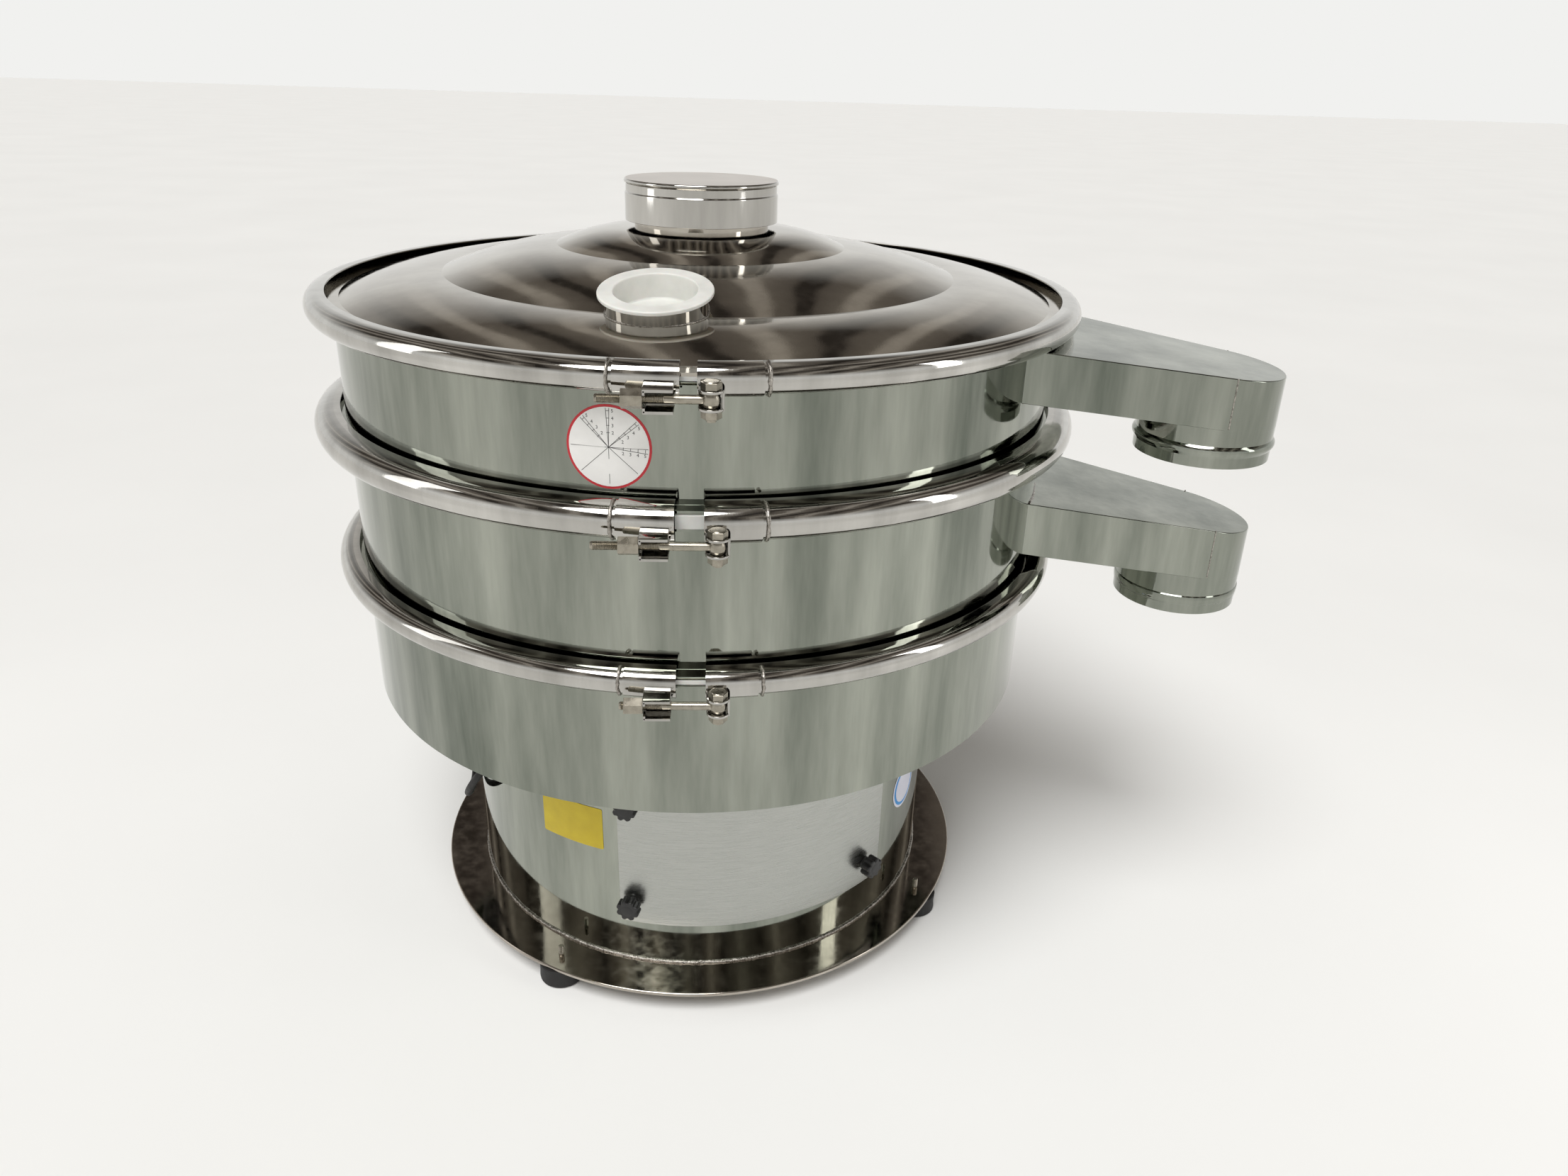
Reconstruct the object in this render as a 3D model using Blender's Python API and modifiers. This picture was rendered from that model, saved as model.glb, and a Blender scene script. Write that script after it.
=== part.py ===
"""Round vibrating sieve of the 1000 mm class, with one screen deck, in polished stainless steel.

The stack stands on six springs above a base drum. From the bottom it is: rubber feet, base flange,
base drum with a hand hole, springs, the vibrating body with the vertical out-of-balance motor, the
lower frame with its outlet, the screen, the upper frame with its outlet and the domed lid.
Metres, +Z up. The clamp closures and the lid's observation port face -Y, the outlets face +X.
The sieve is modelled about the axis of its drum, and then stood with the middle of its box on the origin.
"""
import math

import bmesh
import bpy
from mathutils import Matrix, Vector

# Fineness of round pieces
BIG_STEPS = 36
DRUM_STEPS = 44
CAP_STEPS = 28
PIPE_STEPS = 20
MOTOR_STEPS = 16
ROD_STEPS = 12
PEG_STEPS = 8
FOOT_STEPS = 16
HEX = 6

# Clearances
SEAT = 0.0003
OVERRUN = 0.004
MERGE = 0.00001

# Sheet thicknesses
BARREL_WALL = 0.003
FLANGE_PLATE = 0.004
MOTOR_PLATE = 0.008
DOME_PLATE = 0.0025
DUCT_WALL = 0.002
DOOR_PLATE = 0.002

# Rubber feet
FOOT_COUNT = 4
FOOT_HEIGHT = 0.031
FOOT_TOP_R = 0.033
FOOT_FLOOR_R = 0.033
FOOT_EDGE = 0.004
FOOT_FIRST_ANGLE = math.radians(-120)
STUD_R = 0.004
STUD_ABOVE_PLATE = 0.016

# Base flange and base drum
DRUM_R = 0.370
BASE_FLANGE_R = DRUM_R + 0.063
BASE_FLANGE_HOLE_R = DRUM_R - 0.040
FOOT_CIRCLE_R = DRUM_R + 0.034
BASE_FLANGE_PLATE = 0.006
BASE_RIM_ROUND = 0.002
DRUM_HEIGHT = 0.354
SPRING_RING_WIDTH = 0.052
SPRING_RING_PLATE = 0.006

# Hand hole, its curved door and the star knobs
DOOR_STEPS = 8
DOOR_START = math.radians(-107.3)
DOOR_ABOVE_FLANGE = 0.0705
DOOR_HEIGHT = 0.247
HAND_HOLE_STEPS = 6
HAND_HOLE_MARGIN = 0.052
KNOB_LEFT_INSET = math.radians(2.8)
KNOB_RIGHT_INSET = math.radians(5.5)
KNOB_EDGE_INSET = 0.037
KNOB_R = 0.017
KNOB_LOBES = 8
KNOB_GROOVE = 0.0035
LOBE_POINTS = 3
KNOB_HEIGHT = 0.017
KNOB_COLLAR_R = 0.010
KNOB_COLLAR_HEIGHT = 0.006
KNOB_BORE_DEPTH = 0.018
DOOR_STUD_R = 0.004
DOOR_STUD_LENGTH = 0.015
DOOR_SLOT_R = 0.0046

# Springs
SPRING_COUNT = 6
SPRING_HEIGHT = 0.113
SPRING_COIL_R = 0.021
SPRING_WIRE_R = 0.003
SPRING_TURNS = 3.5
SPRING_TURN_POINTS = 8
SPRING_PEG_R = 0.0160
SPRING_PEG_HEIGHT = 0.012

# Barrels of the vibrating stack
BARREL_R = 0.500
JOINT_FLANGE_R = BARREL_R + 0.019
SKIRT_DROP = 0.104
BODY_ABOVE_PLATE = 0.089
LOWER_FRAME_HEIGHT = 0.1877
UPPER_FRAME_HEIGHT = 0.1447
JOINT_SEAL = 0.006
MOTOR_HOLE_R = 0.104

# Collecting dome in the lower frame
DOME_EDGE_ABOVE_BOTTOM = 0.021
DOME_RISE = 0.062
DOME_POINTS = 3

# Screen, its frame and its seal
SCREEN_FRAME_PLATE = 0.006
SCREEN_FRAME_HOLE_R = BARREL_R - 0.056
SCREEN_MESH_R = BARREL_R - 0.0005
SCREEN_MESH_PLATE = 0.0012
SCREEN_SEAL_LIP = 0.0045
SCREEN_SEAL_LIP_R = BARREL_R + 0.003
SCREEN_SEAL_OUT = 0.003

# Outlets
OUTLET_ROOT_X = BARREL_R - 0.024
OUTLET_ROOT_HALF = 0.150
OUTLET_END_R = 0.092
OUTLET_PIPE_R = 0.088
OUTLET_ARC_STEPS = 8
OUTLET_BACK_STEPS = 10
OUTLET_MOUTH_X = BARREL_R - 0.038
UPPER_OUTLET = {
    "angle": math.radians(-18), "below_top": 0.012, "pipe_x": BARREL_R + 0.2105, "depth": 0.067,
    "slope": math.radians(6), "pipe_drop": 0.0525,
}
LOWER_OUTLET = {
    "angle": math.radians(-6.5), "below_top": 0.084, "pipe_x": BARREL_R + 0.240, "depth": 0.076,
    "slope": math.radians(10), "pipe_drop": 0.060,
}
BEAD_PROUD = 0.004
BEAD_HEIGHT = 0.012
BEAD_ABOVE_END = 0.016

# Lid
LID_EDGE_R = BARREL_R - 0.010
LID_EDGE_RISE = 0.004
LID_OUTER_CREASE_R = 0.357
LID_OUTER_CREASE_RISE = 0.028
LID_INNER_CREASE_R = 0.202
LID_INNER_CREASE_RISE = 0.062
LID_ZONE_CROWN = 0.006
NECK_R = 0.0935
NECK_WALL = 0.002
NECK_FOOT_RISE = 0.085
NECK_TOP_RISE = 0.1435
NECK_FLANGE_R = 0.1025
NECK_FLANGE_PLATE = 0.005

# Feed cap
CAP_TOP_R = 0.1072
CAP_BAND_R = 0.1062
CAP_GROOVE_R = 0.1050
CAP_WALL = 0.0026
CAP_PLATE = 0.003
CAP_HEIGHT = 0.0545
CAP_EDGE = 0.002
CAP_BEAD_HEIGHT = 0.0065
CAP_GROOVE_TOP = 0.0085
CAP_GROOVE_BOTTOM = 0.0165
CAP_STEP = 0.002

# Observation port and its plug
PORT_ANGLE = math.radians(-97.1)
PORT_CENTRE_R = 0.345
PORT_TILT = math.radians(12)
PORT_TUBE_R = 0.0593
PORT_TUBE_WALL = 0.002
PORT_RISE = 0.022
PORT_SUNK = 0.020
PLUG_FLANGE_R = 0.0667
PLUG_FLANGE_HEIGHT = 0.005
PLUG_ROUND = 0.0015
PLUG_MOUTH_R = 0.0475
PLUG_WALL = 0.006
PLUG_DEPTH = 0.034
PLUG_FLOOR = 0.005
PLUG_TAPER = 0.003

# Clamp rings and their closures
CLAMP_SHEET = 0.002
CLAMP_LIP_R = BARREL_R + 0.006
CLAMP_STRIP = 0.008
CLAMP_LIP_RISE = 0.009
CLAMP_UNDER_R = JOINT_FLANGE_R - 0.005
CLAMP_FACE_SHARES = ((0.65, 0.6), (1, 0), (0.65, -0.7))
CLAMP_BULGE = 0.0145
SCREEN_CLAMP_BULGE = 0.022
CLAMP_GAPS = {1: 0.018, 2: 0.032, 3: 0.034}
SLEEVE_PROUD = 0.0022
SLEEVE_STEPS = 2
CLOSURE_PROUD = 0.0135
CLOSURE_SUNK = 0.005
CLOSURE_DROP = 0.014
BRACKET_INSET = 0.005
BRACKET_WIDTH = 0.031
BRACKET_WEB = 0.0045
BRACKET_BEYOND = 0.013
BRACKET_MOUTH_HALF = 0.0095
BRACKET_PLATE = 0.003
BRACKET_CREST = 0.016
BRACKET_SLOT_FIT = 0.0015
CLEVIS_INSET = 0.0145
CLEVIS_HALF = 0.0135
CLEVIS_MOUTH_HALF = 0.0078
CLEVIS_PLATE = 0.003
CLEVIS_BEYOND = 0.012
SWING_ROD_R = 0.005
SWING_ROD_LENGTHS = {1: 0.117, 2: 0.134, 3: 0.112}
SWING_EYE_R = 0.0095
SWING_EYE_HALF = 0.0073
PIVOT_R = 0.005
PIVOT_FIT = 0.0003
PIVOT_HEAD_R = 0.011
PIVOT_HEAD_HEIGHT = 0.0075
PIVOT_NUT_HEIGHT = 0.0078
CLAMP_NUT_R = 0.0105
CLAMP_NUT_LENGTH = 0.022
CLAMP_NUT_FIT = 0.0003

# Motor
MOTOR_FLANGE_R = 0.150
MOTOR_FLANGE_PLATE = 0.012
MOTOR_R = 0.100
MOTOR_BORE_R = 0.055
MOTOR_ABOVE_FLANGE = 0.046
MOTOR_BELOW_FLANGE = 0.215
SHIELD_PLATE = 0.014
SHIELD_HUB_R = 0.048
SHIELD_HUB_HEIGHT = 0.010
BEARING_R = 0.036
BEARING_HEIGHT = 0.016
SHAFT_R = 0.0175
ROTOR_R = 0.0535
ROTOR_END_GAP = 0.012
SHAFT_BEYOND = 0.052
WEIGHT_R = 0.092
WEIGHT_PLATE = 0.018
WEIGHT_HUB_R = 0.030
WEIGHT_HALF_ANGLE = math.radians(75)
WEIGHT_LEAD_ANGLE = math.radians(35)
WEIGHT_SWEEP_STEPS = 12
WEIGHT_HUB_ANGLES = [math.radians(turn) for turn in (110, 145, 180, 215, 250)]
TERMINAL_BOX_SIZE = (0.085, 0.034, 0.070)

# Motor lead outside the drum
LEAD_R = 0.0055
GROMMET_ANGLE = math.radians(-138)
GROMMET_ABOVE_FLANGE = 0.2922
GROMMET_R = 0.011
GROMMET_OUT = 0.012
GROMMET_IN = 0.006
GROMMET_GROOVE = 0.002
CONNECTOR_ANGLE = math.radians(-171)
CONNECTOR_ABOVE_FLANGE = 0.1842
CONNECTOR_SIZE = (0.030, 0.020, 0.034)
LEAD_STEPS = 18
LEAD_DROP = 0.050
LEAD_SAG = 0.090
LEAD_PULL = 0.090
LEAD_STRAIGHT = 0.010

# Levels, from the floor up
FLANGE_UNDER = FOOT_HEIGHT + SEAT
BASE_FLANGE_TOP = FLANGE_UNDER + BASE_FLANGE_PLATE
DRUM_BOTTOM = BASE_FLANGE_TOP + SEAT
DRUM_TOP = DRUM_BOTTOM + DRUM_HEIGHT
GROMMET_Z = BASE_FLANGE_TOP + GROMMET_ABOVE_FLANGE
CONNECTOR_Z = BASE_FLANGE_TOP + CONNECTOR_ABOVE_FLANGE
DOOR_BOTTOM = BASE_FLANGE_TOP + DOOR_ABOVE_FLANGE
DOOR_TOP = DOOR_BOTTOM + DOOR_HEIGHT
MOTOR_PLATE_UNDER = DRUM_TOP + SEAT + SPRING_HEIGHT + SEAT
SKIRT_BOTTOM = MOTOR_PLATE_UNDER - SKIRT_DROP
BODY_TOP = MOTOR_PLATE_UNDER + BODY_ABOVE_PLATE
LOWER_FRAME_BOTTOM = BODY_TOP + SEAT + JOINT_SEAL + SEAT
LOWER_FRAME_TOP = LOWER_FRAME_BOTTOM + LOWER_FRAME_HEIGHT
SCREEN_SEAL_BOTTOM = LOWER_FRAME_TOP + SEAT
SCREEN_FRAME_BOTTOM = SCREEN_SEAL_BOTTOM + SCREEN_SEAL_LIP + SEAT
SCREEN_SEAL_TOP = SCREEN_FRAME_BOTTOM + SCREEN_FRAME_PLATE + SEAT + SCREEN_SEAL_LIP
UPPER_FRAME_BOTTOM = SCREEN_SEAL_TOP + SEAT
UPPER_FRAME_TOP = UPPER_FRAME_BOTTOM + UPPER_FRAME_HEIGHT
LID_BOTTOM = UPPER_FRAME_TOP + SEAT + JOINT_SEAL + SEAT
LID_FLANGE_TOP = LID_BOTTOM + FLANGE_PLATE
SPRING_CIRCLE_R = DRUM_R - SPRING_RING_WIDTH / 2
BARREL_IN_R = BARREL_R - BARREL_WALL

COLLECTION = "vibrating_sieve"
CUTTER_COLLECTION = "cutters"
SMOOTH_ANGLE = math.radians(32)
BIG_STEP_ANGLE = math.tau / BIG_STEPS
FRONT = math.radians(-90)


def fresh_scene():
    """Remove what the file holds and make the two collections."""
    for item in list(bpy.data.objects):
        bpy.data.objects.remove(item, do_unlink=True)
    for name in (COLLECTION, CUTTER_COLLECTION):
        if name not in bpy.data.collections:
            bpy.context.scene.collection.children.link(bpy.data.collections.new(name))


def finish_material(name, colour, roughness, metallic):
    """A Principled material for one finish."""
    material = bpy.data.materials.new(name)
    material.use_nodes = True
    shader = material.node_tree.nodes["Principled BSDF"]
    shader.inputs["Base Color"].default_value = (*colour, 1)
    shader.inputs["Roughness"].default_value = roughness
    shader.inputs["Metallic"].default_value = metallic
    material.diffuse_color = (*colour, 1)
    return material


FINISHES = {
    "polished_steel": ((0.60, 0.58, 0.55), 0.06, 1.0),
    "brushed_steel": ((0.62, 0.61, 0.60), 0.30, 1.0),
    "zinc_steel": ((0.66, 0.66, 0.64), 0.28, 1.0),
    "cast_iron": ((0.18, 0.24, 0.22), 0.55, 0.2),
    "black_rubber": ((0.03, 0.03, 0.03), 0.65, 0.0),
    "black_plastic": ((0.02, 0.02, 0.02), 0.35, 0.0),
    "white_silicone": ((0.86, 0.86, 0.83), 0.45, 0.0),
    "screen_wire": ((0.55, 0.54, 0.52), 0.35, 1.0),
}


def new_object(name, mesh, finish=None, cutter=False):
    """Link a mesh as a node of the sieve, or as a hidden cutter."""
    item = bpy.data.objects.new(name, mesh)
    bpy.data.collections[CUTTER_COLLECTION if cutter else COLLECTION].objects.link(item)
    if cutter:
        item.hide_render = True
        item.display_type = "WIRE"
    if finish:
        mesh.materials.clear()
        mesh.materials.append(finish_material(name + "_finish", *FINISHES[finish]))
    return item


def settle(item):
    """Turn the modifiers of an object into its mesh, smooth between its sharp edges."""
    bpy.context.view_layer.update()
    graph = bpy.context.evaluated_depsgraph_get()
    mesh = bpy.data.meshes.new_from_object(item.evaluated_get(graph))
    mesh.name = item.name
    item.modifiers.clear()
    item.data = mesh
    mesh.shade_smooth()
    mesh.set_sharp_from_angle(angle=SMOOTH_ANGLE)
    return item


def turned(name, profile, steps, finish=None, cutter=False, sweep=None):
    """Turn a closed profile of (radius, height) points about Z with a Screw modifier.

    The points run down the outer side. A profile that starts and ends on the axis stays open there.
    """
    mesh = bpy.data.meshes.new(name)
    count = len(profile)
    on_axis = profile[0][0] == 0 and profile[-1][0] == 0
    edges = [(index, index + 1) for index in range(count - 1)]
    if not on_axis:
        edges.append((count - 1, 0))
    mesh.from_pydata([(radius, 0, height) for radius, height in profile], edges, [])
    item = new_object(name, mesh, finish, cutter)
    screw = item.modifiers.new("turn", "SCREW")
    screw.steps = steps
    screw.render_steps = steps
    screw.use_merge_vertices = True
    screw.merge_threshold = MERGE
    screw.use_smooth_shade = True
    if sweep is not None:
        screw.angle = sweep
        screw.use_merge_vertices = False
        settle(item)
        cap_ends(item)
    return settle(item)


def big_turned(name, profile, finish=None, cutter=False, steps=BIG_STEPS):
    """Turn a piece of the stack, or some of its steps about the front, on the facets that it shares."""
    first = FRONT - steps * BIG_STEP_ANGLE / 2
    sweep = steps * BIG_STEP_ANGLE if steps < BIG_STEPS else None
    item = turned(name, profile, steps, finish, cutter, sweep)
    return bake_place(item, Matrix.Rotation(first, 4, "Z"))


def cap_ends(item):
    """Close the two open ends of a part turn and make its faces point out."""
    work = bmesh.new()
    work.from_mesh(item.data)
    bmesh.ops.holes_fill(work, edges=[edge for edge in work.edges if edge.is_boundary], sides=0)
    bmesh.ops.recalc_face_normals(work, faces=work.faces)
    work.to_mesh(item.data)
    work.free()


def outline_solid(name, points, low, high, finish=None, cutter=False):
    """Extrude a flat outline of (x, y) points from height low to height high."""
    curve = bpy.data.curves.new(name, "CURVE")
    curve.dimensions = "2D"
    curve.fill_mode = "BOTH"
    curve.extrude = (high - low) / 2
    spline = curve.splines.new("POLY")
    spline.points.add(len(points) - 1)
    for point, (x, y) in zip(spline.points, points):
        point.co = (x, y, 0, 1)
    spline.use_cyclic_u = True
    source = bpy.data.objects.new(name + "_outline", curve)
    bpy.data.collections[CUTTER_COLLECTION].objects.link(source)
    bpy.context.view_layer.update()
    graph = bpy.context.evaluated_depsgraph_get()
    mesh = bpy.data.meshes.new_from_object(source.evaluated_get(graph))
    bpy.data.objects.remove(source, do_unlink=True)
    work = bmesh.new()
    work.from_mesh(mesh)
    bmesh.ops.remove_doubles(work, verts=work.verts, dist=MERGE)
    bmesh.ops.translate(work, verts=work.verts, vec=(0, 0, (low + high) / 2))
    bmesh.ops.recalc_face_normals(work, faces=work.faces)
    work.to_mesh(mesh)
    work.free()
    return new_object(name, mesh, finish, cutter)


def rod(name, radius, low, high, steps, finish=None, cutter=False):
    """A round or hexagonal bar along Z."""
    work = bmesh.new()
    place = Matrix.Translation((0, 0, (low + high) / 2))
    bmesh.ops.create_cone(work, cap_ends=True, segments=steps, radius1=radius, radius2=radius,
                          depth=high - low, matrix=place)
    mesh = bpy.data.meshes.new(name)
    work.to_mesh(mesh)
    work.free()
    mesh.shade_smooth()
    mesh.set_sharp_from_angle(angle=SMOOTH_ANGLE)
    return new_object(name, mesh, finish, cutter)


def box(name, low, high, finish=None, cutter=False):
    """A block between two corners."""
    work = bmesh.new()
    size = [top - bottom for bottom, top in zip(low, high)]
    centre = [(top + bottom) / 2 for bottom, top in zip(low, high)]
    bmesh.ops.create_cube(work, size=1, matrix=Matrix.Translation(centre) @ Matrix.Diagonal((*size, 1)))
    mesh = bpy.data.meshes.new(name)
    work.to_mesh(mesh)
    work.free()
    return new_object(name, mesh, finish, cutter)


def bake_place(item, matrix):
    """Move the points of an object's mesh."""
    item.data.transform(matrix)
    item.data.update()
    return item


def combine(item, tools, operation):
    """Join tools to an object, or cut them away, in one exact step, and drop the tools."""
    group = bpy.data.collections.new("tools")
    bpy.context.scene.collection.children.link(group)
    for tool in tools:
        group.objects.link(tool)
    change = item.modifiers.new(operation.lower(), "BOOLEAN")
    change.operation = operation
    change.solver = "EXACT"
    change.operand_type = "COLLECTION"
    change.collection = group
    settle(item)
    for tool in tools:
        bpy.data.objects.remove(tool, do_unlink=True)
    bpy.data.collections.remove(group)
    return item


def union(item, *tools):
    return combine(item, tools, "UNION")


def cut(item, *tools):
    return combine(item, tools, "DIFFERENCE")


def running_bore(radius, steps):
    """Radius of a faceted bore in which a faceted shaft of this radius turns freely."""
    return radius / math.cos(math.pi / steps) + SEAT


def about_z(angle, radius=0, height=0):
    """A place at a radius and a height, turned about the axis of the sieve."""
    return Matrix.Rotation(angle, 4, "Z") @ Matrix.Translation((radius, 0, height))


def stand_on_origin():
    """Move the whole sieve so that the middle of its box, seen from above, is on the origin."""
    bpy.context.view_layer.update()
    pieces = list(bpy.data.collections[COLLECTION].objects)
    corners = [piece.matrix_world @ Vector(corner) for piece in pieces for corner in piece.bound_box]
    middle = [(min(place[axis] for place in corners) + max(place[axis] for place in corners)) / 2
              for axis in range(2)]
    for piece in pieces:
        piece.location -= Vector((*middle, 0))


# Base: feet, flange, drum

def foot_angles():
    return [FOOT_FIRST_ANGLE + index * math.tau / FOOT_COUNT for index in range(FOOT_COUNT)]


def make_feet():
    """Rubber cones with a bonded stud that goes up through the base flange."""
    stud_top = BASE_FLANGE_TOP + STUD_ABOVE_PLATE
    profile = [
        (0, stud_top), (STUD_R, stud_top), (STUD_R, FOOT_HEIGHT),
        (FOOT_TOP_R, FOOT_HEIGHT), (FOOT_FLOOR_R, FOOT_EDGE), (FOOT_FLOOR_R - FOOT_EDGE, 0), (0, 0),
    ]
    for index, angle in enumerate(foot_angles(), 1):
        foot = turned(f"foot_{index}", profile, FOOT_STEPS, "black_rubber")
        bake_place(foot, about_z(angle, FOOT_CIRCLE_R))


def make_base_flange():
    """The flat ring that the drum stands on, with a rounded edge and holes for the foot studs."""
    top = BASE_FLANGE_TOP
    profile = [
        (BASE_FLANGE_HOLE_R, top), (BASE_FLANGE_R - BASE_RIM_ROUND, top),
        (BASE_FLANGE_R, top - BASE_RIM_ROUND), (BASE_FLANGE_R, FLANGE_UNDER),
        (BASE_FLANGE_HOLE_R, FLANGE_UNDER),
    ]
    flange = turned("base_flange", profile, BIG_STEPS, "polished_steel")
    for angle in foot_angles():
        hole = rod("stud_hole", STUD_R + SEAT, FLANGE_UNDER - OVERRUN, top + OVERRUN, FOOT_STEPS,
                   cutter=True)
        bake_place(hole, about_z(angle, FOOT_CIRCLE_R))
        cut(flange, hole)


def door_sweep():
    return DOOR_STEPS * math.tau / DRUM_STEPS


def door_middle():
    return DOOR_START + door_sweep() / 2


def knob_places():
    """Angle and height of the four studs: lower left, lower right, upper left, upper right."""
    left = DOOR_START + KNOB_LEFT_INSET
    right = DOOR_START + door_sweep() - KNOB_RIGHT_INSET
    low = DOOR_BOTTOM + KNOB_EDGE_INSET
    high = DOOR_TOP - KNOB_EDGE_INSET
    return [(left, low), (right, low), (left, high), (right, high)]


def radial(angle, height):
    """A frame whose Z points outwards from the axis of the sieve at an angle and a height."""
    return Matrix.Rotation(angle, 4, "Z") @ Matrix.Translation((0, 0, height)) @ Matrix.Rotation(
        math.radians(90), 4, "Y")


def spring_angles():
    return [(index + 0.5) * math.tau / SPRING_COUNT for index in range(SPRING_COUNT)]


def make_base_drum():
    """The upright drum with its spring ring, hand hole, door studs and lead hole."""
    inner = DRUM_R - BARREL_WALL
    ring_inner = DRUM_R - SPRING_RING_WIDTH
    profile = [
        (ring_inner, DRUM_TOP), (DRUM_R, DRUM_TOP), (DRUM_R, DRUM_BOTTOM), (inner, DRUM_BOTTOM),
        (inner, DRUM_TOP - SPRING_RING_PLATE), (ring_inner, DRUM_TOP - SPRING_RING_PLATE),
    ]
    drum = turned("base_drum", profile, DRUM_STEPS, "polished_steel")
    bake_place(drum, Matrix.Rotation(DOOR_START, 4, "Z"))
    step = math.tau / DRUM_STEPS
    hole_start = DOOR_START + (DOOR_STEPS - HAND_HOLE_STEPS) / 2 * step
    low = DOOR_BOTTOM + HAND_HOLE_MARGIN
    high = DOOR_TOP - HAND_HOLE_MARGIN
    near, far = inner - OVERRUN, DRUM_R + OVERRUN
    window = turned("hand_hole", [(near, high), (far, high), (far, low), (near, low)],
                    HAND_HOLE_STEPS, cutter=True, sweep=HAND_HOLE_STEPS * step)
    bake_place(window, Matrix.Rotation(hole_start, 4, "Z"))
    cut(drum, window)
    for angle, height in knob_places():
        stud = rod("door_stud", DOOR_STUD_R, inner + BARREL_WALL / 2, DRUM_R + DOOR_STUD_LENGTH,
                   ROD_STEPS, cutter=True)
        union(drum, bake_place(stud, radial(angle, height)))
    for angle in spring_angles():
        peg = rod("spring_peg", SPRING_PEG_R, DRUM_TOP - SPRING_RING_PLATE / 2,
                  DRUM_TOP + SPRING_PEG_HEIGHT, PEG_STEPS, cutter=True)
        union(drum, bake_place(peg, about_z(angle, SPRING_CIRCLE_R)))
    lead_hole = rod("lead_hole", GROMMET_R - GROMMET_GROOVE + SEAT, near, far, ROD_STEPS, cutter=True)
    cut(drum, bake_place(lead_hole, radial(GROMMET_ANGLE, GROMMET_Z)))


def make_door():
    """The curved plate over the hand hole, with slots that let it be drawn off the radial studs."""
    inner = DRUM_R + SEAT
    outer = inner + DOOR_PLATE
    door = turned("hand_hole_door", [(inner, DOOR_TOP), (outer, DOOR_TOP), (outer, DOOR_BOTTOM),
                                     (inner, DOOR_BOTTOM)], DOOR_STEPS, "brushed_steel", sweep=door_sweep())
    bake_place(door, Matrix.Rotation(DOOR_START, 4, "Z"))
    for angle, height in knob_places():
        away = math.copysign(1, angle - door_middle())
        shift = DOOR_STUD_LENGTH * math.tan(abs(angle - door_middle()))
        slot_end = angle + away * shift / DRUM_R
        near = inner - OVERRUN
        far = outer + OVERRUN
        for place in (angle, slot_end):
            hole = rod("door_slot", DOOR_SLOT_R, near, far, PEG_STEPS, cutter=True)
            cut(door, bake_place(hole, radial(place, height)))
        middle = (angle + slot_end) / 2
        bridge = box("door_slot_bridge", (-DOOR_SLOT_R, -shift / 2, near), (DOOR_SLOT_R, shift / 2, far),
                     cutter=True)
        cut(door, bake_place(bridge, radial(middle, height)))


def knob_outline():
    """Eight round lobes as three points each."""
    points = []
    for index in range(KNOB_LOBES * LOBE_POINTS):
        radius = KNOB_R if index % LOBE_POINTS else KNOB_R - KNOB_GROOVE
        angle = index * math.tau / (KNOB_LOBES * LOBE_POINTS)
        points.append((radius * math.cos(angle), radius * math.sin(angle)))
    return points


def make_knobs():
    """Black star knobs on the door studs."""
    foot = DRUM_R + SEAT + DOOR_PLATE + SEAT
    head = foot + KNOB_COLLAR_HEIGHT
    for index, (angle, height) in enumerate(knob_places(), 1):
        knob = outline_solid(f"star_knob_{index}", knob_outline(), head, head + KNOB_HEIGHT, "black_plastic")
        collar = rod("knob_collar", KNOB_COLLAR_R, foot, head + OVERRUN, PEG_STEPS, cutter=True)
        union(knob, collar)
        bore = rod("knob_bore", DOOR_STUD_R + SEAT, foot - OVERRUN, foot + KNOB_BORE_DEPTH, ROD_STEPS,
                   cutter=True)
        cut(knob, bore)
        bake_place(knob, radial(angle, height))


# Springs

def make_springs():
    """Six coil springs between the drum's spring ring and the motor plate."""
    low = DRUM_TOP + SEAT + SPRING_WIRE_R
    high = MOTOR_PLATE_UNDER - SEAT - SPRING_WIRE_R
    count = round(SPRING_TURNS * SPRING_TURN_POINTS)
    for index, angle in enumerate(spring_angles(), 1):
        curve = bpy.data.curves.new(f"spring_{index}", "CURVE")
        curve.dimensions = "3D"
        curve.bevel_depth = SPRING_WIRE_R
        curve.bevel_resolution = 1
        curve.use_fill_caps = True
        spline = curve.splines.new("POLY")
        spline.points.add(count)
        for step, point in enumerate(spline.points):
            turn = step * math.tau / SPRING_TURN_POINTS
            point.co = (SPRING_COIL_R * math.cos(turn), SPRING_COIL_R * math.sin(turn),
                        low + (high - low) * step / count, 1)
        curve.materials.append(finish_material(f"spring_{index}_finish", *FINISHES["zinc_steel"]))
        spring = bpy.data.objects.new(f"spring_{index}", curve)
        bpy.data.collections[COLLECTION].objects.link(spring)
        spring.location = about_z(angle, SPRING_CIRCLE_R).to_translation()


# Vibrating body, frames

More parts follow.
